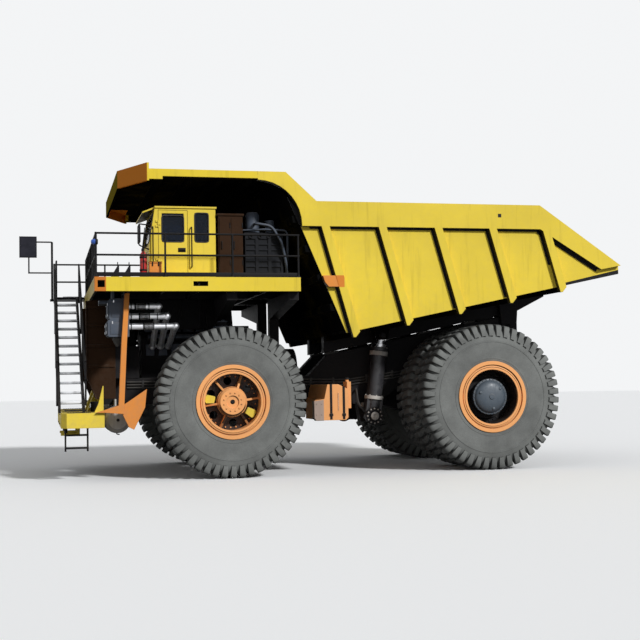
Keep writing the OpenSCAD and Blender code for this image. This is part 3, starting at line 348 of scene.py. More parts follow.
# %% The other finishes
METALS = {
    "rod_chrome": (shade(0.72, 0.72, 0.74), 0.16, 0.02),
    "pipe_metal": (shade(0.70, 0.71, 0.73), 0.34),
    "worn_steel": (shade(0.24, 0.22, 0.20), 0.45),
    "mirror_glass": (shade(0.80, 0.82, 0.84), 0.03, 0.0),
    # The next entry is a mirror darkened to paint a dark reflection.
    "dark_mirror": (shade(0.035, 0.035, 0.045), 0.05, 0.0),
}
MOULDED = {
    "pad_rubber": (shade(0.020, 0.020, 0.020), 0.75),
    "cab_trim": (shade(0.030, 0.031, 0.034), 0.60, 120.0, 0.10),
    "signal_red": (shade(0.50, 0.020, 0.018), 0.30, 20.0, 0.15),
    "signal_blue": (shade(0.020, 0.090, 0.420), 0.30, 20.0, 0.15),
    "screen": (shade(0.010, 0.012, 0.016), 0.12, 10.0, 0.05),
}
finish.update({name: bare_metal(name, *look_of) for name, look_of in METALS.items()})
finish.update({name: moulded(name, *look_of) for name, look_of in MOULDED.items()})
finish.update({
    "tyre": tyre_rubber(),
    "seat_cloth": seat_cloth(),
    "cab_glass": pane("cab_glass", shade(0.03, 0.05, 0.09), dust=0.03, bend=1.25),
    "lamp_lens": pane("lamp_lens", shade(0.88, 0.90, 0.92)),
})
print("finishes:", len(finish))

# %% Give every node its finish
# The beams under the bed get the near-black dark paint, which paints the shade under the bed.
OTHER_FINISH = {"bed_floor": "bed_floor_paint", "bed_beams": "dark_paint", "hoist_barrels": "hoist_paint",
                "air_tanks": "dusty_grey", "fuel_tank": "rim_paint"}
for name, node in nodes.items():
    node.data.materials.clear()
    node.data.materials.append(finish[OTHER_FINISH.get(name, slot_of[name])])
print("dressed", len(nodes), "nodes")

# %% [markdown]
# ## Masked areas
#
# A few plates carry two colours. The low cabinet behind the cab is dark, the front end of the deck's
# edge beam is orange, and so is the bracket on the first rib. Other boxes paint shade near black: under
# the deck and the canopy, on the front wall's outer edges, in a drain hole of the top rail, and inside
# the rims, where grime darkens them too. A copy of the paint gets a masked box in the truck's own space,
# so the border stays where it is when the bed tips.

# %% Two-coloured plates
MASK_EDGE = 0.004            # half the width of the border
FRONT_WELL, REAR_WELL = 2.935, 3.50       # inward of this y the rims are dark, with grime and with painted shade
FLANGE_ORANGE = shade(0.84, 0.29, 0.045)


def painted_patch(material, low, high, colour):
    """Paints what lies inside a box, like a masked area in a paint shop."""
    tree = Tree(material.node_tree)
    shader = material.node_tree.nodes["Principled BSDF"]
    before = shader.inputs["Base Color"].links[0].from_socket
    coords = tree.add("ShaderNodeTexCoord", out=3)
    share = 1.0
    for i in range(3):
        place = tree.axis(coords, i)
        inside = tree.times(tree.ramp(place, low[i] - MASK_EDGE, low[i] + MASK_EDGE),
                            tree.ramp(place, high[i] + MASK_EDGE, high[i] - MASK_EDGE))
        share = tree.times(share, inside)
    tree.put(shader, "Base Color", tree.mix(share, before, colour))


def two_coloured(node, base, *patches):
    """Dresses a node in a copy of a paint, with boxes of another colour given from the front axle."""
    copy = finish[base].copy()
    copy.name = f"{node}_paint"
    for low, high, colour in patches:
        painted_patch(copy, (FRONT_AXLE + low[0], *low[1:]), (FRONT_AXLE + high[0], *high[1:]), colour)
    nodes[node].data.materials[0] = copy
    print(copy.name, "is", base, "with", len(patches), "patches")


def mirrored(low, high, colour):
    """A patch on the left and the same on the right."""
    (x0, y0, z0), (x1, y1, z1) = low, high
    return (low, high, colour), ((x0, -y1, z0), (x1, -y0, z1), colour)


# %% Patches on the deck, the bed and the rims
# Painted shade: the deck below its walking surface is painted near black.
DECK_UNDERSIDE_SHADE = ((-1.59, -3.645, 4.2), (3.18, 3.645, 4.69), SOOT_AND_SHADE)
two_coloured("control_cabinet", "brown_paint", ((-1.4, 0, 4), (-0.385, 4, 7), shade(0.018, 0.019, 0.022)))
DECK_ORANGE = ((2.93, 3.5, 4.3), (3.3, 3.7, 4.8), shade(0.62, 0.20, 0.03))
two_coloured("deck_left", "deck_yellow", DECK_ORANGE, DECK_UNDERSIDE_SHADE)
for panel in ("deck_centre", "deck_right"):
    two_coloured(panel, "deck_yellow", DECK_UNDERSIDE_SHADE)
# Painted shade: the canopy's underside is painted near black. The orange on the corners of its front flange
# is paint.
two_coloured("bed_canopy", "canopy_paint",
             ((-1.3, -3.45, 6.9), (1.90, 3.45, 7.139), SOOT_AND_SHADE), ((1.85, -2.40, 6.9), (2.53, 2.40, 7.139), SOOT_AND_SHADE),
             *mirrored((1.985, 2.49, 6.85), (2.70, 3.70, 7.35), FLANGE_ORANGE))
# Painted shade: the front wall's outer edges, behind the side plates, are painted black.
two_coloured("bed_front_wall", "shaded_yellow", *mirrored((-4, 3.46, 3.0), (1.2, 3.7, 7.06), SOOT_AND_SHADE))
# The orange box is the bracket's paint; the small black box paints the shade inside a drain hole in the top
# rail.
two_coloured("bed_sides", "bed_rib_paint",
             ((-2.66, -3.7, 4.47), (-2.44, 3.7, 4.75), shade(0.72, 0.23, 0.03)),
             ((-6.69, -3.7, 6.20), (-6.60, 3.7, 6.29), shade(0.01, 0.01, 0.01)))
# Inside the rims the disc is painted dark brown, for grime and for the shade deep in the wheel.
front_wells = mirrored((-1, 2.5, 0), (1, FRONT_WELL, 4), shade(0.035, 0.014, 0.007))
rear_wells = mirrored((REAR - 1, 1.0, 0), (REAR + 1, REAR_WELL, 4), shade(0.020, 0.011, 0.007))
for side, front_well, rear_well in zip(SIDES, front_wells, rear_wells):
    two_coloured(f"front_rim_{side}", "rim_paint", front_well)
    two_coloured(f"rear_rims_{side}", "rim_paint", rear_well)

# %% [markdown]
# ## Tools for making pieces
#
# A truck is hundreds of plates, tubes, rings and bolts. Modelling them by hand in the viewport would
# work, but then nothing follows the frame when a size changes. So a Piece gathers closed shapes in one
# mesh, from a few kinds of shape: a bevelled box, a plate cut to an outline, a lathe turning and a
# tube along a path. At the end it becomes one object that rides on its body.

# %% Bends and axes
def softened(path, radius, steps=5):
    """The path with each inner corner turned into an arc of about that radius."""
    path = [Vector(p) for p in path]
    out = [path[0]]
    for before, corner, after in zip(path, path[1:], path[2:]):
        reach = min(radius, (corner - before).length * 0.48, (after - corner).length * 0.48)
        start = corner + (before - corner).normalized() * reach
        end = corner + (after - corner).normalized() * reach
        for i in range(steps + 1):
            t = i / steps
            out.append(start.lerp(corner, t).lerp(corner.lerp(end, t), t))
    return out + [path[-1]]


def point(axis, u, v, w):
    """The point at w along an axis, 'x', 'y' or 'z', and at u and v across it."""
    return {"x": (w, u, v), "y": (u, w, v), "z": (u, v, w)}[axis]


# %% A piece and its shapes
class Piece:
    """One mesh of closed shapes. done() makes it an object that rides on a body of the frame."""

    def __init__(self, name, slot, homes=LEFT, body="chassis"):
        self.name, self.slot, self.homes, self.body = name, slot, homes, body
        self.mesh = bmesh.new()

    def take(self, part, place=Matrix()):
        """Adds a bmesh or a mesh once for each home, moved by a matrix. A mirrored copy's faces are
        turned round, so that they still look outward."""
        mesh = part
        if isinstance(part, bmesh.types.BMesh):
            mesh = bpy.data.meshes.new("part")
            part.to_mesh(mesh)
            part.free()
        for home in self.homes:
            copy = mesh.copy()
            copy.transform(home @ place)
            if (home @ place).determinant() < 0:
                copy.flip_normals()
            self.mesh.from_mesh(copy)
            bpy.data.meshes.remove(copy)
        if mesh is not part:
            bpy.data.meshes.remove(mesh)
        return self

    def box(self, low, high, bevel=0.006, place=Matrix()):
        low, high = Vector(low), Vector(high)
        part = bmesh.new()
        bmesh.ops.create_cube(part, size=1.0)
        size = high - low
        for v in part.verts:
            v.co = Vector(c * s for c, s in zip(v.co, size)) + (low + high) / 2
        bevel = min(bevel, min(size) * 0.45)
        if bevel > 0:
            bmesh.ops.bevel(part, geom=part.edges[:], offset=bevel, segments=2, affect="EDGES", profile=0.7)
        return self.take(part, place)

    def plate(self, outline, axis, low, high, bevel=0.004, place=Matrix()):
        """An outline of (u, v) points made a plate between low and high along an axis."""
        part = bmesh.new()
        near = [part.verts.new(point(axis, u, v, low)) for u, v in outline]
        far = [part.verts.new(point(axis, u, v, high)) for u, v in outline]
        part.faces.new(near)
        part.faces.new(far)
        for i in range(len(near)):
            j = (i + 1) % len(near)
            part.faces.new((near[i], near[j], far[j], far[i]))
        bmesh.ops.recalc_face_normals(part, faces=part.faces[:])
        if bevel > 0:
            bmesh.ops.bevel(part, geom=part.edges[:], offset=bevel, segments=1, affect="EDGES")
        return self.take(part, place)

    def lathe(self, profile, centre=(0, 0, 0), axis="y", steps=48, place=Matrix()):
        """A closed outline of (radius, along) points turned round an axis through centre."""
        part = bmesh.new()
        rings = []
        for radius, along in profile:
            count = 1 if radius < 1e-6 else steps
            circle = []
            for i in range(count):
                a = 2 * math.pi * i / steps
                spot = point(axis, radius * math.cos(a), radius * math.sin(a), along)
                circle.append(part.verts.new(Vector(spot) + Vector(centre)))
            rings.append(circle)
        for a, b in zip(rings, rings[1:] + rings[:1]):
            for i in range(steps):
                j = (i + 1) % steps
                corners = [a[i % len(a)], a[j % len(a)], b[j % len(b)], b[i % len(b)]]
                corners = [c for k, c in enumerate(corners) if c not in corners[:k]]
                if len(corners) > 2:
                    part.faces.new(corners)
        bmesh.ops.recalc_face_normals(part, faces=part.faces[:])
        return self.take(part, place)

    def band(self, inner, outer, low, high, centre=(0, 0, 0), axis="y", steps=48, place=Matrix()):
        """A plain ring between two radii and two places along the axis. An inner radius of 0 makes a disc."""
        profile = [(inner, low), (outer, low), (outer, high), (inner, high)]
        return self.lathe(profile, centre, axis, steps, place)

    def tube(self, path, radius, sides=12, bend=0.0, place=Matrix()):
        """A round bar or pipe along points, with flat ends and its corners bent to a radius."""
        part = bmesh.new()
        path = softened(path, bend) if bend else [Vector(p) for p in path]
        ahead = [(b - a).normalized() for a, b in zip(path, path[1:])]
        ahead = [ahead[0]] + [(a + b).normalized() for a, b in zip(ahead, ahead[1:])] + [ahead[-1]]
        side = ahead[0].orthogonal().normalized()
        rings = []
        for spot, way in zip(path, ahead):
            side = (side - way * side.dot(way)).normalized()
            over = way.cross(side)
            rings.append([part.verts.new(spot + radius * (side * math.cos(a) + over * math.sin(a)))
                          for a in (2 * math.pi * i / sides for i in range(sides))])
        for a, b in zip(rings, rings[1:]):
            for i in range(sides):
                j = (i + 1) % sides
                part.faces.new((a[i], a[j], b[j], b[i]))
        part.faces.new(rings[0][::-1])
        part.faces.new(rings[-1])
        return self.take(part, place)

    def grow(self, tree, place=Matrix(), base=None, **values):
        """Adds what a Geometry Nodes tree makes from these inputs."""
        return self.take(tree.mesh(base, Finish=finish[self.slot], **values), place)

    def done(self, dress=None, smooth_below=35.0):
        data = bpy.data.meshes.new(self.name)
        self.mesh.to_mesh(data)
        self.mesh.free()
        data.materials.clear()
        data.materials.append(finish[dress or self.slot])
        made = bpy.data.objects.new(self.name, data)
        bpy.context.scene.collection.objects.link(made)
        data.polygons.foreach_set("use_smooth", [True] * len(data.polygons))
        data.polygons.foreach_set("material_index", [0] * len(data.polygons))
        data.set_sharp_from_angle(angle=math.radians(smooth_below))
        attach(made, self.body)
        print(self.name, "on", self.body, len(data.polygons), "faces")
        return made


def spun(spot, degrees, axis):
    """A matrix that turns a shape about an axis and then moves it to a spot."""
    return Matrix.Translation(spot) @ Matrix.Rotation(math.radians(degrees), 4, axis)


print("shapes ready")

# %% [markdown]
# ## Repeats by Geometry Nodes
#
# Lugs, nuts, fins and treads are the same shape many times. A loop could copy them, but a node tree
# says the rule once and shows it in the modifier panel, where its numbers can be tried by hand. Three
# trees are enough for this truck: a ring round an axle, a row along a line, and a skin swept along a
# curve. Each ends in Realize Instances, because an exported model keeps no instances.

# %% Growing a mesh with a tree
class Grower:
    """A Geometry Nodes tree with named inputs, that makes a plain mesh."""

    def __init__(self, name, **inputs):
        self.group = bpy.data.node_groups.new(name, "GeometryNodeTree")
        face = self.group.interface
        face.new_socket(name="Geometry", in_out="OUTPUT", socket_type="NodeSocketGeometry")
        face.new_socket(name="Geometry", in_out="INPUT", socket_type="NodeSocketGeometry")
        for label, kind in (inputs | {"Finish": "Material"}).items():
            face.new_socket(name=label, in_out="INPUT", socket_type="NodeSocket" + kind)
        self.tree = Tree(self.group)
        self.start = self.group.nodes.new("NodeGroupInput")
        self.end = self.group.nodes.new("NodeGroupOutput")

    def given(self, label):
        return self.start.outputs[label]

    def close(self, geometry):
        real = self.tree.add("GeometryNodeRealizeInstances", Geometry=geometry)
        dressed = self.tree.add("GeometryNodeSetMaterial", Geometry=real, Material=self.given("Finish"))
        self.group.links.new(dressed, self.end.inputs[0])

    def mesh(self, base=None, **values):
        """The plain mesh that the tree makes from a base mesh and these inputs."""
        holder = bpy.data.objects.new("holder", base or bpy.data.meshes.new("empty"))
        bpy.context.scene.collection.objects.link(holder)
        modifier = holder.modifiers.new("grow", "NODES")
        modifier.node_group = self.group
        for socket in self.group.interface.items_tree:
            if socket.in_out == "INPUT" and socket.name in values:
                modifier[socket.identifier] = values[socket.name]
        view = bpy.context.evaluated_depsgraph_get()
        view.update()
        made = bpy.data.meshes.new_from_object(holder.evaluated_get(view))
        holder.modifiers.clear()
        bpy.data.objects.remove(holder)
        return made


def item(piece):
    """A Piece's mesh as a loose object that a tree can repeat. It stays out of the scene."""
    data = bpy.data.meshes.new(piece.name)
    piece.mesh.to_mesh(data)
    piece.mesh.free()
    return bpy.data.objects.new(piece.name, data)


# %% The ring tree and the row tree
ring = Grower("ring_round_the_axle", Item="Object", Count="Int", Phase="Float", Flip="Float")
t = ring.tree
points = t.add("GeometryNodePoints", Count=ring.given("Count"))
step_on = t.maths("ADD", t.add("GeometryNodeInputIndex"), ring.given("Phase"))
angle = t.times(t.maths("DIVIDE", step_on, ring.given("Count")), 2 * math.pi)
turned = t.add("FunctionNodeEulerToRotation",
               Euler=t.add("ShaderNodeCombineXYZ", Y=angle, Z=ring.given("Flip")))
thing = t.add("GeometryNodeObjectInfo", out="Geometry", Object=ring.given("Item"))
ring.close(t.add("GeometryNodeInstanceOnPoints", Points=points, Instance=thing, Rotation=turned))

row = Grower("row_along_a_line", Item="Object", Count="Int", Start="Vector", Step="Vector")
t = row.tree
line = t.add("GeometryNodeMeshLine", Count=row.given("Count"), Start__Location=row.given("Start"),
             Offset=row.given("Step"))
thing = t.add("GeometryNodeObjectInfo", out="Geometry", Object=row.given("Item"))
row.close(t.add("GeometryNodeInstanceOnPoints", Points=line, Instance=thing))
print("trees: ring, row")

# %% [markdown]
# ## Tyres
#
# A haul truck's tyre is 3.6 m tall. Its side wall is smooth with a few rings, and deep lugs wrap from
# the tread over the shoulder, which gives the toothed edge in the picture. The carcass is turned on
# the lathe. One lug is built as a strip that follows the same outline, and the ring tree repeats it:
# once for each side, the second side turned end for end and half a pitch on.

# %% The carcass and one lug
AXLE = 1.790                 # the height of the axles, and the radius of a tyre
LUG_COUNT = 50
SIDE_WALL = [
    (0.738, 0.28), (0.742, 0.425), (0.796, 0.447), (0.834, 0.478), (0.871, 0.500), (0.886, 0.510),
    (0.930, 0.512), (0.936, 0.518), (0.962, 0.520), (0.968, 0.514), (1.060, 0.524), (1.150, 0.531),
    (1.250, 0.535), (1.340, 0.532), (1.345, 0.539), (1.375, 0.537), (1.380, 0.528), (1.440, 0.517),
    (1.500, 0.502), (1.560, 0.482), (1.610, 0.458), (1.650, 0.425), (1.680, 0.380), (1.698, 0.310),
    (1.704, 0.160)]
# Stations of a lug from the middle of the tread to the side wall: place across, radius of its top,
# half its length round the tyre, its drift round the tyre and the radius of its foot
LUG_STATIONS = [
    (0.028, 1.790, 0.050, 0.085, 1.66), (0.150, 1.790, 0.058, 0.060, 1.66),
    (0.250, 1.790, 0.064, 0.022, 1.66), (0.380, 1.788, 0.070, 0.000, 1.65),
    (0.462, 1.776, 0.072, 0.000, 1.60), (0.500, 1.735, 0.070, 0.000, 1.56),
    (0.522, 1.660, 0.064, 0.000, 1.52), (0.533, 1.580, 0.056, 0.000, 1.49),
    (0.532, 1.500, 0.048, 0.000, 1.46)]
LUG_EDGE = 0.014             # the broken edge along a lug's top


def lug():
    """A strip over the tread and down the shoulder, its foot sunk in the carcass."""
    made = Piece("lug", "tyre", ORIGIN)
    rings = []
    for across, top, half, drift, root in LUG_STATIONS:
        foot_y = across - (0.0 if across < 0.40 else min(0.10, (across - 0.40) * 0.9))
        shoulder, crest, heel = top - LUG_EDGE, half - LUG_EDGE, half * 1.15
        section = [(-heel, foot_y, root), (-half, across, shoulder), (-crest, across, top),
                   (crest, across, top), (half, across, shoulder), (heel, foot_y, root)]
        rings.append([made.mesh.verts.new((x + drift, y, math.sqrt(r * r - (x + drift) ** 2)))
                      for x, y, r in section])
    for a, b in zip(rings, rings[1:]):
        for i in range(6):
            j = (i + 1) % 6
            made.mesh.faces.new((a[i], a[j], b[j], b[i]))
    made.mesh.faces.new(rings[0])
    made.mesh.faces.new(rings[-1])
    bmesh.ops.recalc_face_normals(made.mesh, faces=made.mesh.faces[:])
    return made


carcass = item(Piece("carcass", "tyre", ORIGIN).lathe(
    SIDE_WALL + [(r, -y) for r, y in reversed(SIDE_WALL)], steps=150)).data
tread_lug = item(lug())
one_side = ring.mesh(Item=tread_lug, Count=LUG_COUNT, Phase=0.0, Flip=0.0, Finish=finish["tyre"])
other_side = ring.mesh(Item=tread_lug, Count=LUG_COUNT, Phase=0.5, Flip=math.pi, Finish=finish["tyre"])
print("carcass", len(carcass.polygons), "faces, lugs", len(one_side.polygons) * 2)

# %% Tyres in place
tyre_low, tyre_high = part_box("front_tyre_left")
pair_low, pair_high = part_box("rear_tyres_left")
HALF_WIDTH = (tyre_high.y - tyre_low.y) / 2
FRONT_Y = middle("front_tyre_left").y
INNER_Y, OUTER_Y = pair_low.y + HALF_WIDTH, pair_high.y - HALF_WIDTH


def tyres(name, body, node, x, places_across):
    made = Piece(name, "tyre", body=body)
    for y in places_across:
        for mesh in (carcass, one_side, other_side):
            made.take(mesh, Matrix.Translation((x, y, AXLE)))
    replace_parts(made.done(), node)


for side, sign in (("left", 1), ("right", -1)):
    tyres(f"front_tread_{side}", f"wheel_front_{side}", f"front_tyre_{side}", 0, (sign * FRONT_Y,))
    tyres(f"rear_treads_{side}", f"wheels_rear_{side}", f"rear_tyres_{side}", REAR,
          (sign * INNER_Y, sign * OUTER_Y))

# %% [markdown]
# ## Nuts and bolts
#
# Real wheels, hubs and flanges are held by dozens of hexagon heads, and an eye that sees them reads the
# size of everything round them. A head is two short turnings: a washer, and a six-sided head with its
# top edge broken. The ring tree sets them round an axle. The same heads in a row use the row tree.

# %% Bolt heads
ALONG_X = Matrix.Rotation(math.radians(-90), 4, "Z")
ALONG_Z = Matrix.Rotation(math.radians(90), 4, "X")
BACKWARD = Matrix.Rotation(math.radians(90), 4, "Z")


def bolt_head(size, radius=0.0, across=0.0):
    """A hexagon head on its washer, pointing along +Y, at a distance over the axle."""
    place = (0, across, radius)
    head = Piece("bolt_head", "dark_paint", ORIGIN)
    head.band(0, size * 1.15, -0.004, size * 0.22, place, steps=12)
    outline = ((0, 0.2), (1.0, 0.2), (1.0, 0.9), (0.8, 1.1), (0, 1.1))
    return head.lathe([(size * r, size * y) for r, y in outline], place, steps=6)


def bolt_ring(piece, count, radius, across, size, centre, phase=0.0, turn=Matrix()):
    """Bolt heads round an axle through centre. turn swings the axle away from +Y."""
    piece.grow(ring, Matrix.Translation(centre) @ turn, Item=item(bolt_head(size, radius, across)),
               Count=count, Phase=phase, Flip=0.0)


def bolt_row(piece, count, start, step, size, turn=Matrix()):
    """Bolt heads in a line. turn points them along another axis than +Y."""
    back = turn.inverted()
    piece.grow(row, turn, Item=item(bolt_head(size)), Count=count, Start=back @ Vector(start),
               Step=back @ Vector(step))


print("bolt tools ready")

# %% [markdown]
# ## Wheels
#
# The rims are orange like the fuel tank, and the CAD gives their flange, groove, gussets and hub.
# What makes them look bolted together is added here: the split lock ring in the groove, the nuts that
# clamp the disc, the valve with its long stem, and on the rear wheels the grey cover of the wheel motor.
# A Screw modifier could turn the covers. The lathe does the same and leaves a plain, closed mesh.

# %% Front wheels
LOCK_RING = [(0.722, 0.480), (0.752, 0.480), (0.764, 0.494), (0.758, 0.512), (0.730, 0.516), (0.722, 0.508)]
front_hub = (0, FRONT_Y, AXLE)
for side, home in SIDES.items():
    body = f"wheel_front_{side}"
    wheel = Piece(f"front_wheel_nuts_{side}", "orange_paint", home, body)
    bolt_ring(wheel, 30, 0.610, 0.060, 0.020, front_hub)
    bolt_ring(wheel, 12, 0.215, 0.460, 0.017, front_hub, 0.5)
    wheel.lathe(LOCK_RING, front_hub, steps=120).band(0.348, 0.362, 0.300, 0.335, front_hub, steps=60)
    wheel.done("rim_paint")
    # Two yellow tabs paint the sunlit edges of two gussets, as highlights on the orange rim.
    tabs = Piece(f"front_wheel_tabs_{side}", "yellow_paint", home, body)
    for clock in (83, 240):
        tabs.plate([(-0.085, 0.400), (0.085, 0.400), (0.110, 0.600), (0.070, 0.645), (-0.070, 0.645),
                    (-0.110, 0.600)], "y", 0.190, 0.300, 0.015, spun(front_hub, clock, "Y"))
    tabs.done()
    cap = Piece(f"front_hub_cap_{side}", "dark_paint", home, body)
    cap.lathe([(0, 0.385), (0.050, 0.385), (0.050, 0.405), (0.032, 0.418), (0, 0.418)], front_hub, steps=32)
    cap.tube([(0.62, FRONT_Y + 0.10, AXLE - 0.20), (0.62, FRONT_Y + 0.40, AXLE - 0.20),
              (0.665, FRONT_Y + 0.50, AXLE - 0.215)], 0.011, bend=0.08)
    cap.box((0.60, FRONT_Y + 0.36, AXLE - 0.225), (0.655, FRONT_Y + 0.40, AXLE - 0.175)).done()

# %% Rear wheels
COVER = [(0, 0.150), (0.416, 0.150), (0.416, 0.288), (0.441, 0.292), (0.441, 0.339), (0.405, 0.346),
         (0.379, 0.390), (0.345, 0.414), (0.300, 0.436), (0.240, 0.452), (0.182, 0.461), (0.100, 0.468),
         (0, 0.470)]
rear_hub = Vector((REAR, OUTER_Y, AXLE))
for side, home in SIDES.items():
    body = f"wheels_rear_{side}"
    cover = Piece(f"motor_cover_{side}", "grey_paint", home, body)
    cover.lathe(COVER, rear_hub, steps=72)
    bolt_ring(cover, 28, 0.424, 0.339, 0.012, rear_hub)
    cover.lathe([(0, 0.466), (0.070, 0.466), (0.064, 0.482), (0, 0.485)], rear_hub, steps=32)
    for clock in (20, 140, 260):
        spoke = Vector((math.cos(math.radians(clock)), 0, math.sin(math.radians(clock)))) * 0.30
        cover.lathe([(0, 0.430), (0.034, 0.430), (0.034, 0.448), (0.022, 0.456), (0, 0.456)],
                    rear_hub + spoke, steps=20)
    cover.done("cover_paint")
    # A dark ring over the disc deep in the rim. Its near-black colour is partly painted shade.
    drum = Piece(f"wheel_motor_{side}", "dark_paint", home, body)
    drum.lathe([(0.418, -0.058), (0.655, -0.058), (0.655, -0.030), (0.560, -0.022), (0.540, 0.060),
                (0.418, 0.070)], rear_hub, steps=96)
    bolt_ring(drum, 36, 0.610, -0.026, 0.018, rear_hub)
    drum.done()
    lock = Piece(f"rear_lock_rings_{side}", "orange_paint", home, body)
    lock.lathe(LOCK_RING, rear_hub, steps=120).done("rim_paint")

# %% [markdown]
# ## The bed
#
# The bed is one welded steel body. Its plates, ribs and rails come from the CAD. Close to, one sees the
# weld beads where a rib meets the side plate and the wear bars on the floor. Black strips paint the
# shadows in front of the ribs, under the top rail and along the tail. A bead could be painted by a bump,
# but it catches the sun along its whole length, so it is a thin bar of steel here.

# %% Welds and painted shadow strips
BED_SIDE = 3.545
RIB_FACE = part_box("bed_sides")[1].y
BAND_Z = 5.920               # the underside of the top rail
LEAN = math.tan(math.radians(15.6))
FLOOR_SLOPE = math.tan(math.radians(11.4))
RIB_TOPS = [-2.220 - 1.415 * i for i in range(5)]
FIRST_CORNER = -1.75         # where the painted shadow under the rail begins


def leaning(x, z):
    """Where a line that leans like the ribs, at x under the band, has come to at height z."""
    return x - (BAND_Z - z) * LEAN


def floor_under(x):
    return 3.385 + FLOOR_SLOPE * (-2.720 - x)


beads = Piece("bed_welds", "yellow_paint", BOTH, "bed")
corners = Piece("bed_sooty_corners", "dark_paint", BOTH, "bed")


# A black strip on the outside of the side plate, which paints a shadow.
def shadow_strip(*outline):
    corners.plate(outline, "y", BED_SIDE - 0.004, BED_SIDE + 0.004, 0.0)


for top in RIB_TOPS:
    toe = floor_under(top) + (0.10 if top > -7 else 0.62)
    weld, near, far = top - 0.100, top + 0.095, top + 0.165
    beads.tube([(weld, BED_SIDE, BAND_Z - 0.004), (leaning(weld, toe), BED_SIDE, toe)], 0.011, 8)
    shadow_strip((near, BAND_Z), (far, BAND_Z), (leaning(far, toe), toe), (leaning(near, toe), toe))
for start, end in zip([FIRST_CORNER] + RIB_TOPS, RIB_TOPS):
    shadow_strip((start - 0.10, BAND_Z + 0.005), (end + 0.10, BAND_Z + 0.005), (end + 0.10, BAND_Z - 0.050),
          (start - 0.11, BAND_Z - 0.050))
TAIL_CORNER, TAIL_TOE = Vector((-7.720, 5.920)), Vector((-9.300, 4.953))
BELOW_RAIL = Vector((0.048, -0.078))
shadow_strip(TAIL_CORNER, TAIL_TOE, TAIL_TOE + BELOW_RAIL, TAIL_CORNER + BELOW_RAIL)
shadow_strip((-8.350, floor_under(-8.350)), (-9.876, floor_under(-9.876)), (-9.876, floor_under(-9.876) + 0.105),
      (-8.310, floor_under(-8.350) + 0.060))
beads.done()
corners.done()

# %% Corner plates, bracket and wear bars
# The front wall's edge meets the round cut of the side plate, and a small plate closes the corner. Its black
# paints the shade in that corner.
ARC_X, ARC_Z, ARC_RADIUS = -0.600, 5.950, 1.062
WALL_RAKE = math.tan(math.radians(22.9))
arc = [(ARC_X + ARC_RADIUS * math.cos(math.radians(a)), ARC_Z + ARC_RADIUS * math.sin(math.radians(a)))
       for a in range(180, 118, -6)]
wall = [(-2.700 + (z - 3.385) * WALL_RAKE, z) for z in (6.85, 6.40, 5.98)]
Piece("arc_corner_plates", "dark_paint", BOTH, "bed").plate(arc + wall, "y", 3.505, 3.540, 0.0).done()

Piece("bed_side_bracket", "orange_paint", BOTH, "bed").plate(
    [(-2.130, 4.746), (-2.512, 4.746), (-2.584, 4.474), (-2.274, 4.474), (-2.181, 4.590)], "y",
    BED_SIDE - 0.02, RIB_FACE - 0.006, 0.006).done()

bars = Piece("bed_wear_bars", "pipe_metal", LEFT, "bed")
for y in [-3.0 + 0.75 * i for i in range(9)]:
    for start, end in ((-3.05, -5.9), (-6.0, -9.2)):
        outline = [(x, floor_under(x) + lift)
                   for x, lift in ((start, 0.040), (start, 0.062), (end, 0.062), (end, 0.040))]
        bars.plate(outline, "y", y - 0.06, y + 0.06)
bars.done("worn_steel")

# %% [markdown]
# ## Hoist and hinge
#
# Two telescopic cylinders tip the bed. Each stands on a pin with a round, bolted flange that shows
# behind the fuel tank, and takes its oil through two hoses. The bed turns on pins with bolted caps. A
# bolt circle could be an array round an empty, but the ring tree needs no helper object.

# %% Pins, caps and hoses
HOIST_Y = 1.340
HOIST = Vector((-3.940, HOIST_Y, 1.330))
HOIST_TOP = Vector((-4.220, HOIST_Y, floor_under(-4.220) - 0.290))
HINGE = (-7.900, 0, 3.560)
foot_pin = (HOIST.x, 0, HOIST.z)
foot = Piece("hoist_pin_flanges", "grey_paint", BOTH)
foot.lathe([(0, 1.600), (0.100, 1.600), (0.106, 1.612), (0.106, 1.642), (0.050, 1.652), (0.030, 1.640),
            (0, 1.640)], foot_pin)
bolt_ring(foot, 12, 0.185, 1.592, 0.020, foot_pin)
foot.box((HOIST.x - 0.20, 1.02, HOIST.z + 0.20), (HOIST.x + 0.20, 1.10, HOIST.z + 0.34)).done("dusty_grey")

hinge = Piece("bed_hinge_caps", "dark_paint", BOTH)
hinge.lathe([(0, 1.130), (0.120, 1.130), (0.120, 1.156), (0.100, 1.166), (0, 1.166)], HINGE, steps=40)
bolt_ring(hinge, 6, 0.070, 1.164, 0.016, HINGE)
hinge.done()

lean = HOIST_TOP - HOIST
turn = Matrix.Translation(HOIST) @ lean.to_track_quat("Z", "Y").to_matrix().to_4x4()
length = lean.length
rams = Piece("hoist_barrel_fittings", "grey_paint", BOTH, "hoist_barrel")
rams.band(0.202, 0.245, 0.425, 0.515, axis="z", place=turn)
rams.band(0.202, 0.232, length - 0.520, length - 0.410, axis="z", place=turn)
for degrees in range(0, 360, 45):
    spoke = turn @ Matrix.Rotation(math.radians(degrees), 4, "Z")
    rams.band(0, 0.018, length - 0.318, length - 0.290, (0.212, 0, 0), "z", 6, spoke)
    rams.band(0, 0.016, 0.512, 0.536, (0.226, 0, 0), "z", 6, spoke)
for across in (-0.09, 0.09):
    rams.box((0.19, across - 0.045, 0.150), (0.262, across + 0.045, 0.240), 0.01, turn)
    rams.tube([(0.225, across, 0.235), (0.225, across, 0.56), (0.225, across * 0.6, 1.20)], 0.026, 10,
              0.1, turn)
rams.done("dusty_grey")

eyes = Piece("hoist_top_pins", "dark_paint", BOTH, "bed")
for across, outward in ((1.118, -1), (1.562, 1)):
    eyes.band(0, 0.070, 0, outward * 0.022, (HOIST_TOP.x, across - outward * 0.01, HOIST_TOP.z), steps=32)
eyes.done()
print("hoist", round(length, 3), "m from pin to pin")

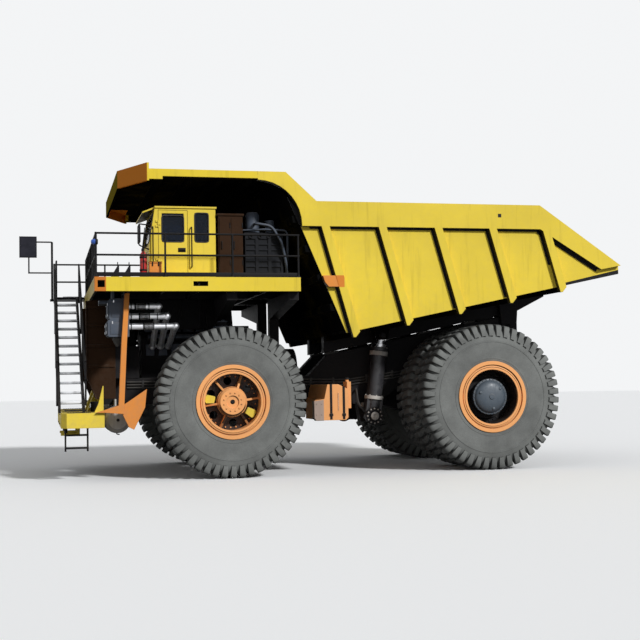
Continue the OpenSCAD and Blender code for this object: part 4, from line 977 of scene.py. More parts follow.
# %% [markdown]
# ## Deck and handrails
#
# The walkway round the cab has handrails with a foot plate under each post, gratings on the landing
# and on the stairs, and the few things that are kept there. The treads are gratings, so that mud
# falls through: a row of thin bars for each tread. An image with holes would be lighter, but flat when
# it is seen along the steps.

# %% Gratings and post feet
DECK = 4.700
DECK_FRONT, DECK_BACK, RAIL_Y = 3.150, -1.560, 3.610
STAIR_X = (3.370, 3.990)
STAIR_LOW, STAIR_HIGH = Vector((0, 2.350, 1.600)), Vector((0, -2.650, DECK))
TREADS, BAR_PITCH = 12, 0.023

bar_item = item(Piece("tread_bar", "pipe_metal", ORIGIN).box((0, -0.004, 0), (0.490, 0.004, 0.022), 0.0015))
grate = Piece("stair_gratings", "pipe_metal")
for i in range(1, TREADS + 1):
    tread = STAIR_LOW.lerp(STAIR_HIGH, i / (TREADS + 1))
    grate.grow(row, Item=bar_item, Count=11, Start=(STAIR_X[0] + 0.065, tread.y - 0.115, tread.z),
               Step=(0, BAR_PITCH, 0))
    for edge in (-0.122, 0.122):
        grate.box((STAIR_X[0] + 0.060, tread.y + edge - 0.006, tread.z - 0.03),
                  (STAIR_X[1] - 0.060, tread.y + edge + 0.006, tread.z + 0.024), 0.002)
grate.grow(row, Item=bar_item, Count=38, Start=(3.280, -3.600, DECK), Step=(0, 0.025, 0))
grate.done()

feet = Piece("handrail_feet", "dark_paint")
POSTS = [(DECK_FRONT - 1.5700 * i, RAIL_Y) for i in range(4)]
POSTS += [(3.950 - 1.3775 * i, -RAIL_Y) for i in range(5)]
POSTS += [(DECK_FRONT, RAIL_Y - 1.0183 * i) for i in range(1, 7)]
for x, y in POSTS:
    feet.box((x - 0.06, y - 0.034, DECK), (x + 0.06, y + 0.034, DECK + 0.012), 0.003)
    feet.lathe([(0.024, 0.010), (0.034, 0.010), (0.030, 0.060), (0.024, 0.062)], (x, y, DECK), "z", 20)
    for u in (-0.042, 0.042):
        feet.band(0, 0.010, 0.011, 0.021, (x + u, y, DECK), "z", 6)
feet.done()

kick = Piece("kick_plates", "dark_paint")
for low, high in (((DECK_BACK, 3.596), (DECK_FRONT, 3.604)), ((DECK_BACK, -3.604), (DECK_FRONT, -3.596)),
                  ((3.136, -2.40), (3.144, 3.60))):
    kick.box((*low, DECK + 0.012), (*high, DECK + 0.11), 0.002)
kick.done()

# %% Things kept on the deck
BOTTLE = (2.060, 3.330, DECK)
Piece("fire_bottle", "signal_red").lathe(
    [(0, 0.03), (0.070, 0.03), (0.080, 0.05), (0.080, 0.50), (0.070, 0.56), (0.040, 0.60), (0.030, 0.62),
     (0, 0.62)], BOTTLE, "z", 32).done()
valve = Piece("fire_bottle_valve", "dark_paint").band(0, 0.022, 0.61, 0.68, BOTTLE, "z", 16)
valve.tube([(2.060, y, DECK + z) for y, z in ((3.330, 0.66), (3.40, 0.68), (3.425, 0.45), (3.415, 0.20))],
           0.011, bend=0.05)
valve.box((2.05, 3.28, DECK + 0.67), (2.07, 3.36, DECK + 0.69), 0.004)
for z in (0.16, 0.46):
    valve.band(0.080, 0.088, z, z + 0.04, BOTTLE, "z", 32)
valve.box((1.975, 3.31, DECK), (1.985, 3.35, DECK + 0.60), 0.003)
valve.box((1.94, 3.24, DECK), (2.15, 3.42, DECK + 0.03), 0.004).done()
chest = Piece("tool_box", "orange_paint").box((1.640, 3.120, DECK + 0.02), (1.930, 3.420, DECK + 0.36), 0.012)
chest.box((1.632, 3.112, DECK + 0.33), (1.938, 3.428, DECK + 0.38), 0.010).done()
latches = Piece("tool_box_latches", "dark_paint")
for x in (1.70, 1.84):
    latches.box((x, 3.426, DECK + 0.27), (x + 0.03, 3.437, DECK + 0.37), 0.003)
    latches.box((x - 0.02, 3.15, DECK), (x + 0.03, 3.39, DECK + 0.022), 0.003)
latches.done()
CHOCK_GRIP = ((3.31, 0.28), (3.31, 0.36), (3.41, 0.36), (3.41, 0.28))
chocks = Piece("wheel_chocks", "dark_paint")
for x in (2.36, 2.62):
    chocks.plate([(x + u, DECK + z) for u, z in ((0, 0), (0.20, 0), (0.17, 0.05), (0.02, 0.30), (0, 0.30))],
                 "y", 3.28, 3.44, 0.008)
    chocks.tube([(x + 0.03, y, DECK + z) for y, z in CHOCK_GRIP], 0.008, bend=0.03)
chocks.done()
SIGNAL = (DECK_FRONT, RAIL_Y, DECK + 0.80)
Piece("rail_signal_lamp", "signal_blue").lathe(
    [(0, 0.0), (0.062, 0.0), (0.066, 0.02), (0.060, 0.075), (0.040, 0.105), (0, 0.115)],
    SIGNAL, "x", 32).done()
Piece("rail_signal_holder", "dark_paint").lathe(
    [(0, -0.045), (0.055, -0.045), (0.074, -0.01), (0.074, 0.012), (0, 0.012)], SIGNAL, "x", 32).done()

# %% [markdown]
# ## The cab
#
# The cab is glazed all round, so its seats, wheel and dashboard show through the glass. Glass sits in
# black rubber, and the door has a handle and grab rails beside it. A rubber strip could be a bevelled
# curve. Here it is a tube along the outline of the glass, so it is a plain mesh from the start.

# %% Rubber round the glass
CAB_OUT, CAB_IN = 2.900, 0.800
DOOR_BACK, DOOR_FRONT = 0.970, 1.670
SILL, HEAD = 5.600, 6.300
GLASS_LEAN = 0.140 / 0.910
SCREEN_LOW, SCREEN_HIGH = [1.880 - (z - 5.540) * GLASS_LEAN for z in (SILL, HEAD)]


def gasket(piece, corners, radius=0.014):
    """A rubber strip along a closed outline with small round corners."""
    corners = [Vector(c) for c in corners]
    start = (corners[0] + corners[1]) / 2
    piece.tube([start] + corners[1:] + [corners[0], start], radius, 10, 0.07)


def window(y, x0, x1, z0, z1):
    return [(x0, y, z0), (x1, y, z0), (x1, y, z1), (x0, y, z1)]


rubber = Piece("cab_window_rubbers", "pad_rubber")
gasket(rubber, window(CAB_OUT, 0.470, 0.800, SILL, HEAD))
gasket(rubber, window(CAB_IN, 0.470, 1.480, SILL, HEAD))
gasket(rubber, [(0.300, 1.100, SILL), (0.300, 2.600, SILL), (0.300, 2.600, HEAD), (0.300, 1.100, HEAD)])
gasket(rubber, [(SCREEN_LOW, 0.910, SILL), (SCREEN_LOW, 2.790, SILL), (SCREEN_HIGH, 2.790, HEAD),
                (SCREEN_HIGH, 0.910, HEAD)], 0.016)
rubber.done()
door_rubber = Piece("door_rubbers", "pad_rubber", LEFT, "cab_door")
gasket(door_rubber, window(CAB_OUT, DOOR_BACK + 0.090, DOOR_FRONT - 0.090, SILL, 6.230))
door_rubber.done()

# %% Handles, wipers and mirrors
handle = Piece("door_handle", "dark_paint", LEFT, "cab_door")
handle.box((1.02, CAB_OUT, 5.36), (1.20, CAB_OUT + 0.010, 5.46))
handle.tube([(x, CAB_OUT + y, 5.41) for x, y in ((1.04, 0), (1.04, 0.05), (1.18, 0.05), (1.18, 0))], 0.011,
            bend=0.03).done()
grabs = Piece("cab_grab_rails", "dark_paint")
for x in (0.885, 1.800):
    grabs.tube([(x, CAB_OUT + y, z) for y, z in ((-0.01, 5.00), (0.09, 5.00), (0.09, 5.95), (-0.01, 5.95))],
               0.016, bend=0.05)
for y in (1.35, 2.35):
    low_end = Vector((SCREEN_LOW + 0.045, y, 5.585))
    high_end = Vector((SCREEN_HIGH + 0.060, y - 0.30, 6.180))
    grabs.tube([low_end, high_end], 0.010, 8)
    grabs.box(low_end - Vector((0.03, 0.04, 0.04)), low_end + Vector((0.02, 0.04, 0.03)), 0.008)
    blade = high_end - Vector((0.040, 0, 0))
    grabs.tube([blade + Vector((0.045, 0.16, -0.32)), blade + Vector((-0.012, -0.10, 0.06))], 0.012, 8)
grabs.done()

mirror = Piece("near_mirror", "dark_paint")
mirror.tube([(1.860, 2.840, 6.00), (2.140, 3.060, 6.00), (2.140, 3.060, 5.50), (1.880, 2.860, 5.42)], 0.016,
            bend=0.06)
mirror.box((2.110, 2.910, 5.540), (2.160, 3.210, 5.960), 0.020).done()
# The mirror glass is darkened metal, which paints a dark reflection.
Piece("near_mirror_glass", "mirror_glass").box(
    (2.104, 2.930, 5.560), (2.114, 3.190, 5.940), 0.003).done("dark_mirror")
far_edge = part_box("far_mirror")[1].x
Piece("far_mirror_glass", "mirror_glass", ORIGIN).box(
    (far_edge - 0.455, -3.384, 5.905), (far_edge - 0.025, -3.376, 6.455), 0.003).done("dark_mirror")

# %% [markdown]
# ## Seats and controls
#
# The seat cushions are the only soft goods on the truck, and they are seen only through the glass.
# Foam under cloth bulges between its seams. A cloth simulation could show that, but at this size a
# formula is enough: each cushion is a crowned pad with a sewn channel round it, shaped from a grid.

# %% Cushions
SEATS = {"driver": (0.920, 2.150, 0.520), "trainer": (0.860, 1.330, 0.460)}
GRID = 24                    # the squares along each side of a cushion


def cushion(name, centre, size, lean=0.0, crown=0.035):
    """A crowned pad: a rounded slab whose top swells between its corners, with a channel sewn round it."""
    form = bmesh.new()
    faces = []
    for sign in (1, -1):
        lines = []
        for i in range(GRID + 1):
            line = []
            for j in range(GRID + 1):
                u, v = 2 * i / GRID - 1, 2 * j / GRID - 1
                swell = (1 - u ** 4) * (1 - v ** 4)
                pull = 1 - 0.035 * (u * u + v * v) / 2
                channel = 0.012 * math.exp(-((max(abs(u), abs(v)) - 0.72) / 0.045) ** 2)
                height = size[2] / 2 * (0.42 + 0.58 * swell ** 0.45) + (crown * swell - channel) * (sign > 0)
                line.append(form.verts.new((u * size[0] / 2 * pull, v * size[1] / 2 * pull, sign * height)))
            lines.append(line)
        for a, b in zip(lines, lines[1:]):
            for j in range(GRID):
                around = (a[j], b[j], b[j + 1], a[j + 1])
                form.faces.new(around if sign > 0 else around[::-1])
        faces.append(lines)
    top, bottom = faces
    edge = [(i, 0) for i in range(GRID)] + [(GRID, j) for j in range(GRID)]
    edge += [(i, GRID) for i in range(GRID, 0, -1)] + [(0, j) for j in range(GRID, 0, -1)]
    for (i, j), (k, m) in zip(edge, edge[1:] + edge[:1]):
        form.faces.new((top[i][j], bottom[i][j], bottom[k][m], top[k][m]))
    bmesh.ops.recalc_face_normals(form, faces=form.faces[:])
    bmesh.ops.smooth_vert(form, verts=form.verts[:], factor=0.5, use_axis_x=True, use_axis_y=True,
                          use_axis_z=True)
    pad = Piece(name, "cab_trim").take(form, Matrix.Translation(centre) @ Matrix.Rotation(lean, 4, "Y"))
    pad.done("seat_cloth", 80)


for who, (x, y, width) in SEATS.items():
    cushion(f"{who}_seat_cushion", (x + 0.03, y, DECK + 0.510), (0.50, width, 0.13))
    cushion(f"{who}_backrest", (x - 0.215, y, DECK + 0.860), (0.64, width * 0.94, 0.12), math.radians(82))
# %% Seat stands, dashboard and pedals
stands = Piece("seat_stands", "cab_trim")
for x, y, width in SEATS.values():
    half = width / 2
    stands.box((x - 0.20, y - half + 0.05, DECK + 0.06), (x + 0.22, y + half - 0.05, DECK + 0.12), 0.02)
    for z in (0.16, 0.21, 0.26, 0.31, 0.36):
        stands.box((x - 0.16, y - 0.15, DECK + z), (x + 0.18, y + 0.15, DECK + z + 0.035), 0.015)
    stands.box((x - 0.22, y - half + 0.03, DECK + 0.40), (x + 0.25, y + half - 0.03, DECK + 0.46), 0.02)
    stands.plate([(x - 0.27, DECK + 0.42), (x - 0.21, DECK + 0.42), (x - 0.30, DECK + 1.19),
                  (x - 0.35, DECK + 1.19)], "y", y - width * 0.42, y + width * 0.42, 0.02)
    for arm in (y - half - 0.01, y + half + 0.01):
        stands.box((x - 0.20, arm - 0.035, DECK + 0.70), (x + 0.14, arm + 0.035, DECK + 0.745), 0.018)
        stands.box((x - 0.23, arm - 0.02, DECK + 0.50), (x - 0.18, arm + 0.02, DECK + 0.73), 0.012)
stands.plate([(x, DECK + z) for x, z in ((1.545, 0.062), (1.815, 0.062), (1.815, 0.810), (1.660, 0.875),
                                         (1.600, 0.865), (1.535, 0.720), (1.600, 0.600))],
             "y", 0.990, 2.710, 0.015)
stands.plate([(1.54, DECK + 0.78), (1.62, DECK + 0.965), (1.66, DECK + 0.965), (1.70, DECK + 0.85)], "y",
             1.88, 2.42, 0.012)
stands.box((0.95, 1.66, DECK + 0.06), (1.35, 1.84, DECK + 0.62), 0.03)
stands.tube([(1.20, 1.75, DECK + 0.60), (1.22, 1.75, DECK + 0.74)], 0.012)
stands.lathe([(0, 0), (0.022, 0.005), (0.030, 0.030), (0.022, 0.055), (0, 0.060)], (1.22, 1.75, DECK + 0.73),
             "z", 20)
for y in (2.02, 2.26):
    stands.plate([(1.46, DECK + 0.065), (1.52, DECK + 0.065), (1.56, DECK + 0.22), (1.54, DECK + 0.23)], "y",
                 y - 0.05, y + 0.05)
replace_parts(stands.done(), "cab_interior")

# %% Steering wheel and screens
wheel_at = spun((1.520, 2.150, DECK + 0.895), -25, "Y")
steering = Piece("steering_wheel", "cab_trim")
grip = [(0.213 + 0.016 * math.cos(a), 0.016 * math.sin(a)) for a in (math.pi * i / 6 for i in range(12))]
steering.lathe(grip, axis="z", place=wheel_at)
steering.lathe([(0, -0.045), (0.045, -0.045), (0.060, -0.010), (0.045, 0.006), (0, 0.010)], axis="z",
               steps=32, place=wheel_at)
for degrees in (20, 140, 260):
    out = Vector((math.cos(math.radians(degrees)), math.sin(math.radians(degrees)), 0))
    steering.tube([out * 0.04 - Vector((0, 0, 0.020)), out * 0.21], 0.012, 8, place=wheel_at)
steering.tube([(0, 0, -0.22), (0, 0, -0.04)], 0.026, place=wheel_at).done()
screens = Piece("dash_screens", "cab_trim").box((1.525, 2.50, DECK + 0.80), (1.545, 2.68, DECK + 0.94))
screens.box((1.525, 1.55, DECK + 0.80), (1.545, 1.80, DECK + 0.95)).done("screen")

# %% [markdown]
# ## The front
#
# From the front one sees the radiator behind its guard, four lamps on the bumper, the air cleaner boxes
# and the pipes that lead from them to the engine. A radiator core is hundreds of thin fins. The row
# tree repeats one fin, and the guard of the CAD stands before it.

# %% Radiator fins, lamps and bumper fittings
CORE_FACE, CORE_HALF = 2.680, 1.440
FINS, FIN_PITCH = 148, 0.0196
fin = item(Piece("fin", "dark_paint", ORIGIN).box((-0.004, -0.0035, 0), (0.020, 0.0035, 1.900), 0.0))
core = Piece("radiator_fins", "dark_paint")
core.grow(row, Item=fin, Count=FINS, Start=(CORE_FACE, -CORE_HALF, 2.430), Step=(0, FIN_PITCH, 0))
for z in (2.42, 2.88, 3.36, 3.84, 4.31):
    core.box((CORE_FACE - 0.004, -1.46, z), (CORE_FACE + 0.026, 1.46, z + 0.035), 0.004)
core.done()

bezels = Piece("headlamp_bezels", "dark_paint", BOTH)
lenses = Piece("headlamp_lenses", "lamp_lens", BOTH)
reflectors = Piece("headlamp_bowls", "mirror_glass", BOTH)
for y in (1.290, 1.640):
    lamp = ((3.180, y, 1.725), "x", 40)
    bezels.lathe([(0.092, -0.002), (0.112, -0.002), (0.112, 0.020), (0.104, 0.030), (0.092, 0.030)], *lamp)
    reflectors.lathe([(0, 0.0), (0.091, 0.0), (0.091, 0.014), (0.060, 0.006), (0, 0.003)], *lamp)
    lenses.lathe([(0, 0.016), (0.091, 0.016), (0.091, 0.022), (0.060, 0.032), (0, 0.036)], *lamp)
for piece in (bezels, reflectors, lenses):
    piece.done()

BUMPER_TOP, BUMPER_FACE = 1.600, 3.930
bumper = Piece("bumper_fittings", "dark_paint", BOTH)
for below in (0.06, 0.29):
    bolt_row(bumper, 5, (BUMPER_FACE, 0.72, BUMPER_TOP - below), (0, 0.065, 0), 0.016, ALONG_X)
bumper.lathe([(0, -0.235), (0.042, -0.235), (0.042, 0.010), (0.070, 0.014), (0.070, 0.034), (0, 0.040)],
             (3.790, 0.850, 1.262), "z", 24).done()
steps = Piece("bumper_walkway", "dark_paint")
for y0, y1 in ((-2.60, -1.95), (-0.55, 0.55), (2.62, 2.84)):
    steps.box((3.25, y0, BUMPER_TOP), (3.80, y1, BUMPER_TOP + 0.008), 0.002)
    for x in [3.28 + i * 0.06 for i in range(9)]:
        steps.box((x, y0 + 0.03, BUMPER_TOP + 0.006), (x + 0.02, y1 - 0.03, BUMPER_TOP + 0.014), 0.002)
steps.done()

# %% [markdown]
# ## Air cleaners and pipes
#
# Each front corner has two air cleaner boxes with a lid, catches, a rubber dust bowl and a white
# restriction gauge. Bright pipes carry the clean air to the engine. Where the engine shakes against the
# frame a pipe becomes a bellows: a curve with a wavy radius, which is swept by a third tree.

# %% Bellows tree
sweep = Grower("skin_along_a_curve", Radius="Float", Wave="Float", Turns="Float", Sides="Int")
t = sweep.tree
curve = t.add("GeometryNodeMeshToCurve", Mesh=sweep.given("Geometry"))
fine_curve = t.add("GeometryNodeResampleCurve", Curve=curve, Count=240)
turns = t.times(t.add("GeometryNodeSplineParameter"), sweep.given("Turns"))
wave = t.times(t.maths("SINE", t.times(turns, 2 * math.pi)), sweep.given("Wave"))
section = t.add("GeometryNodeCurvePrimitiveCircle", Resolution=sweep.given("Sides"), Radius=1.0)
sweep.close(t.add("GeometryNodeCurveToMesh", Curve=fine_curve, Profile__Curve=section, Fill__Caps=True,
                  Scale=t.maths("ADD", sweep.given("Radius"), wave)))


def bellows(piece, path, radius, wave, turns, sides):
    line_mesh = bpy.data.meshes.new("path")
    line_mesh.from_pydata([tuple(p) for p in path], [(i, i + 1) for i in range(len(path) - 1)], [])
    piece.grow(sweep, base=line_mesh, Radius=radius, Wave=wave, Turns=turns, Sides=sides)


print("tree: bellows")

# %% Air cleaner boxes
CLEANER_X, CLEANER_OUT = 2.360, 2.869
lids = Piece("air_cleaner_lids", "grey_paint", BOTH)
catches = Piece("air_cleaner_catches", "pipe_metal", BOTH)
for z0, z1, reach in ((3.800, 4.220, 0.470), (3.400, 3.720, 0.500)):
    face = CLEANER_X + reach
    lids.box((face - 0.004, 2.200, z0 + 0.02), (face + 0.024, 2.830, z1 - 0.02), 0.012)
    lids.box((CLEANER_X + 0.06, CLEANER_OUT - 0.004, z0 + 0.02),
             (face - 0.06, CLEANER_OUT + 0.010, z1 - 0.02))
    for y in (2.36, 2.67):
        lids.box((face + 0.020, y - 0.10, z0 + 0.06), (face + 0.030, y + 0.10, z1 - 0.06))
    for y in (2.22, 2.78):
        for z in (z0 + 0.07, z1 - 0.09):
            catches.box((face + 0.018, y - 0.012, z - 0.03), (face + 0.036, y + 0.012, z + 0.03), 0.004)
    for x in (CLEANER_X + 0.10, face - 0.11):
        catches.box((x - 0.012, CLEANER_OUT, z1 - 0.055), (x + 0.012, CLEANER_OUT + 0.020, z1 + 0.004), 0.004)
lids.done()
catches.done()
Piece("air_gauges", "lamp_lens", BOTH).lathe(
    [(0, 0.229), (0.060, 0.229), (0.060, 0.236), (0.050, 0.244), (0, 0.246)],
    (CLEANER_X + 0.460, 2.640, 4.165), "x", 32).done()
DUST_BOWL = [(0, 3.150), (0.030, 3.150), (0.045, 3.185), (0.060, 3.200), (0.105, 3.290), (0.119, 3.300),
             (0.119, 3.345), (0, 3.345)]
dust_bowls = Piece("dust_bowls", "pad_rubber", BOTH)
for y in (2.330, 2.690):
    dust_bowls.lathe(DUST_BOWL, (CLEANER_X + 0.250, y, 0), "z", 32)
dust_bowls.done()

# %% Intake pipes and air tanks
PIPE_Y = 2.500
clamps = Piece("intake_clamps", "dark_paint", BOTH)
hoses = Piece("intake_bellows", "pad_rubber", BOTH)
for i in range(3):
    z = 4.100 - 0.240 * i
    start, end = 1.860 - 0.200 * i, CLEANER_X - 0.06
    mid = (start + end) / 2
    for x in (start, end - 0.02, mid - 0.13, mid + 0.11):
        clamps.band(0.079, 0.090, 0, 0.022, (x, PIPE_Y, z), "x", 40)
    bellows(hoses, [(mid + along, PIPE_Y, z) for along in (-0.12, 0, 0.12)], 0.088, 0.010, 8.0, 28)
clamps.done()
hoses.done()

TANK = (2.620, 0, 1.410)
tanks = Piece("air_tank_straps", "dark_paint", BOTH)
for y in (1.62, 2.26):
    tanks.band(0.308, 0.318, y - 0.03, y + 0.03, TANK, steps=60)
tanks.lathe([(0, 2.540), (0.036, 2.540), (0.036, 2.562), (0.020, 2.575), (0, 2.575)], TANK, steps=20)
tanks.tube([(2.62, 2.00, 1.110), (2.62, 2.00, 1.060), (2.55, 2.00, 1.050)], 0.014, bend=0.03).done()

# %% [markdown]
# ## Tanks and chassis
#
# Under the deck and between the wheels hang the fuel tank, the hydraulic tank, struts and the axle. A
# tank is held by steel straps with rubber under them, and has its gauge and its filler cap. The lower
# front of the fuel tank is a dusty stone guard. A strap could be wrapped on its tank by a modifier,
# but the tank's faces are flat, so thin boxes are enough.

# %% Tank straps, guard and gauges
FUEL_Z, FUEL_OUT = 1.290, 2.880
FUEL_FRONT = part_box("fuel_tank")[1].x - FRONT_AXLE
guard = Piece("fuel_tank_guard", "pipe_metal")
guard.plate([(FUEL_FRONT + x, FUEL_Z + z) for x, z in ((0.006, 0.056), (0.006, 0.470), (-0.235, 0.500),
                                                       (-0.235, -0.006), (-0.040, -0.006))],
            "y", 2.700, FUEL_OUT + 0.008, 0.006)
for z in (0.14, 0.40):
    bolt_row(guard, 2, (FUEL_FRONT - 0.050, FUEL_OUT + 0.007, FUEL_Z + z), (-0.13, 0, 0), 0.010)
guard.done("guard_paint")
straps = Piece("fuel_tank_straps", "dark_paint")
for x, top in ((FUEL_FRONT - 0.42, FUEL_Z + 0.874), (FUEL_FRONT - 0.74, FUEL_Z + 0.812)):
    straps.box((x - 0.03, FUEL_OUT - 0.004, FUEL_Z + 0.02), (x + 0.03, FUEL_OUT + 0.007, top), 0.003)
    straps.box((x - 0.03, 1.10, top - 0.006), (x + 0.03, FUEL_OUT + 0.007, top + 0.007), 0.003)
    straps.box((x - 0.045, FUEL_OUT + 0.004, FUEL_Z + 0.10),
               (x + 0.045, FUEL_OUT + 0.020, FUEL_Z + 0.16), 0.005)
straps.lathe([(0, 0), (0.055, 0), (0.062, 0.012), (0.055, 0.040), (0.020, 0.048), (0, 0.048)],
             (FUEL_FRONT - 0.890, FUEL_OUT - 0.240, FUEL_Z + 0.980), "z", 24).done()
gauge_x, gauge_y = FUEL_FRONT - 0.60, FUEL_OUT + 0.010
Piece("fuel_sight_glass", "lamp_lens").tube(
    [(gauge_x, gauge_y, FUEL_Z + 0.24), (gauge_x, gauge_y, FUEL_Z + 0.66)], 0.012).done()
oil = Piece("hydraulic_tank_fittings", "grey_paint", RIGHT)
for x in (-2.62, -3.14):
    oil.box((x - 0.03, 2.316, FUEL_Z + 0.16), (x + 0.03, 2.328, FUEL_Z + 0.90), 0.003)
bolt_ring(oil, 10, 0.105, 0.0, 0.011, (-2.760, 1.710, FUEL_Z + 1.110), turn=ALONG_Z)
bolt_ring(oil, 8, 0.150, 0.0, 0.011, (-2.880, 2.318, FUEL_Z + 0.520))
oil.band(0, 0.180, 2.314, 2.322, (-2.880, 0, FUEL_Z + 0.520), steps=40).done()

# %% [markdown]
# ## Struts, axle and hoses
#
# A strut is a big gas spring, with clamp rings and a bolted cap. The flanges of the rear axle carry
# the wheel motors and show between the tyres as rings of bolts. Hoses run along the frame in clips.
# They could be curves with a round bevel, but a tube along points keeps them with the other shapes.

# %% Strut rings and axle bolts
STRUT = (0, 1.900, 2.760)
struts = Piece("strut_fittings", "grey_paint", BOTH)
struts.band(0.218, 0.250, 0.000, 0.070, STRUT, "z").band(0.218, 0.240, 0.810, 0.880, STRUT, "z")
struts.lathe([(0, 0.978), (0.130, 0.978), (0.130, 1.000), (0.050, 1.010), (0.050, 1.040), (0, 1.044)], STRUT,
             "z", 32)
bolt_ring(struts, 12, 0.110, 0.0, 0.014, (0, 1.900, 3.758), turn=ALONG_Z)
struts.done()
REAR_AXLE = (REAR, 0, AXLE)
axle_bolts = Piece("axle_flange_bolts", "dark_paint", BOTH)
axle_bolts.band(0.448, 0.560, 1.128, 1.190, REAR_AXLE, steps=64)
axle_bolts.band(0.748, 0.775, 0.980, 1.060, REAR_AXLE, steps=72)
bolt_ring(axle_bolts, 32, 0.515, 1.188, 0.018, REAR_AXLE)
bolt_ring(axle_bolts, 36, 0.690, 1.128, 0.020, REAR_AXLE)
axle_bolts.done()
lid = Piece("axle_rear_cover", "grey_paint")
lid.lathe([(0, 0.700), (0.420, 0.700), (0.430, 0.735), (0.410, 0.790), (0.150, 0.830), (0, 0.832)],
          place=spun(REAR_AXLE, 90, "Z"))
bolt_ring(lid, 20, 0.385, 0.786, 0.015, REAR_AXLE, turn=BACKWARD)
lid.done()

# %% Hoses on the frame
HOSE_Y, RAIL_SIDE = 1.040, 1.010
lines = Piece("frame_hoses", "pad_rubber", BOTH)
for z in (2.300, 2.230, 2.160):
    for bend, run in ((0.08, ((2.30, z), (0.90, z), (0.72, z - 0.03), (0.69, z - 0.20))),
                      (0.15, ((-0.72, z), (-2.20, z), (-3.40, z - 0.02), (-5.20, z + 0.22)))):
        lines.tube([(x, HOSE_Y, height) for x, height in run], 0.022, 10, bend)
for x in (1.9, 1.3, -1.1, -1.7, -2.4, -3.0, -3.9, -4.6):
    lift = max(0.0, (-3.4 - x) * 0.133)
    lines.box((x - 0.025, RAIL_SIDE - 0.004, 2.125 + lift), (x + 0.025, RAIL_SIDE + 0.060, 2.335 + lift))
for y in (1.17, 1.27):
    lines.tube([(-3.62, 1.02, 2.02), (-3.56, y, 1.98), (-3.60, y, 1.64), (-3.78, y, 1.46)], 0.024, 10, 0.12)
lines.done()

# %% [markdown]
# ## Engine
#
# The engine is a plain block in the CAD, because it is closed in. From below and through the wheel
# arches its outline shows, so it gets rocker covers, pipes, a sump with a flange and a fan in its shroud.
# They are plain boxes and turnings, because nothing finer can be seen in that shade.

# %% Engine dressing and fan
engine = Piece("engine_dressing", "grey_paint", BOTH)
for x in [-0.72 + i * 0.325 for i in range(8)]:
    engine.box((x, 0.555, 3.560), (x + 0.26, 0.760, 3.690), 0.03)
    engine.box((x + 0.02, 0.636, 2.960), (x + 0.24, 0.720, 3.260), 0.02)
engine.tube([(-0.80, 0.74, 3.42), (1.75, 0.74, 3.42)], 0.085, 20)
engine.box((-0.86, 0.500, 2.20), (1.86, 0.600, 2.26), 0.01)
bolt_row(engine, 22, (-0.80, 0.600, 2.23), (0.125, 0, 0), 0.012)
for x in (-0.2, 0.9):
    engine.lathe([(0, 0), (0.105, 0), (0.110, 0.02), (0.110, 0.34), (0.090, 0.36), (0, 0.36)],
                 (x, 0.680, 2.44), "z", 28)
engine.done()
fan = Piece("radiator_fan", "dark_paint")
fan.lathe([(0, 2.000), (0.140, 2.000), (0.160, 2.020), (0.160, 2.060), (0, 2.060)], (0, 0, 3.350), "x", 32)
for i in range(8):
    blade = spun((2.030, 0, 3.350), 45 * i, "X") @ Matrix.Rotation(math.radians(32), 4, "Z")
    fan.box((-0.012, -0.115, 0.13), (0.012, 0.115, 0.700), 0.010, blade)
fan.done()

# %% [markdown]
# ## Shields
#
# Plates keep stones and dust off the engine and lead the air into the radiator. They hang from the
# deck and stand beside the radiator, so hardly any daylight shows under the deck. Folded ribs keep
# such large plates stiff. They could be one sheet, but then the wheels would touch it at full lock.

# %% Engine and radiator shields
shields = Piece("engine_side_shields", "dark_paint", BOTH)
shields.box((0.140, 1.050, 3.610), (2.345, 1.062, 4.372), 0.003)
for x in (0.45, 0.95, 1.45, 1.95):
    shields.box((x - 0.03, 1.058, 3.640), (x + 0.03, 1.085, 4.372), 0.008)
shields.box((1.990, 1.018, 2.395), (2.360, 1.030, 3.200), 0.003).done()
guides = Piece("radiator_air_guides", "brown_paint", BOTH)
guides.plate([(2.600, 1.900), (3.080, 1.900), (3.300, 2.450), (3.300, 4.300), (2.600, 4.372)], "y",
             1.478, 1.492, 0.003)
guides.plate([(3.060, 1.900), (3.085, 1.890), (3.312, 2.445), (3.312, 4.298), (3.285, 4.300), (3.285, 2.450)],
             "y", 1.460, 1.545)
for z in (2.70, 3.20, 3.70, 4.15):
    guides.box((2.620, 1.488, z - 0.03), (3.290, 1.520, z + 0.03), 0.010)
guides.done()

# %% [markdown]
# ## Cabinets on the deck
#
# Behind the cab stands the brown drive control cabinet, and on the right the box of the retarding
# grids, which blows hot air out of its side. They get door handles, hinges, cable glands and slats. A
# bump could draw the slats, but it stays flat from the side, so the row tree repeats a bent strip.

# %% Cabinet doors and pipes
DOOR_BAR = ((2.948, 0.74), (2.985, 0.74), (2.985, 0.92), (2.948, 0.92))
doors = Piece("cabinet_fittings", "dark_paint")
for x in (-0.34, -0.04):
    for z in (0.35, 1.25):
        doors.tube([(x, 2.955, DECK + z), (x, 2.955, DECK + z + 0.12)], 0.012)
    doors.tube([(x + 0.20, y, DECK + z) for y, z in DOOR_BAR], 0.010, bend=0.02)
for i in range(4):
    doors.band(0.030, 0.046, 2.848, 2.880, (-1.22 + 0.22 * i, 0, DECK + 1.06), steps=24)
doors.done()
machinery = Piece("deck_machinery", "grey_paint")
machinery.lathe([(0, 1.18), (0.17, 1.18), (0.17, 1.62), (0.13, 1.68), (0, 1.68)],
                (-0.66, 2.55, DECK), "z", 36)
machinery.lathe([(0, 1.15), (0.11, 1.15), (0.11, 1.48), (0, 1.50)], (-1.08, 2.60, DECK), "z", 32)
THICK_PIPE = ((-0.66, 2.74, 1.36), (-0.66, 2.98, 1.36), (-1.05, 2.98, 1.30), (-1.30, 2.98, 0.90),
              (-1.42, 2.90, 0.35), (-1.45, 2.80, 0.02))
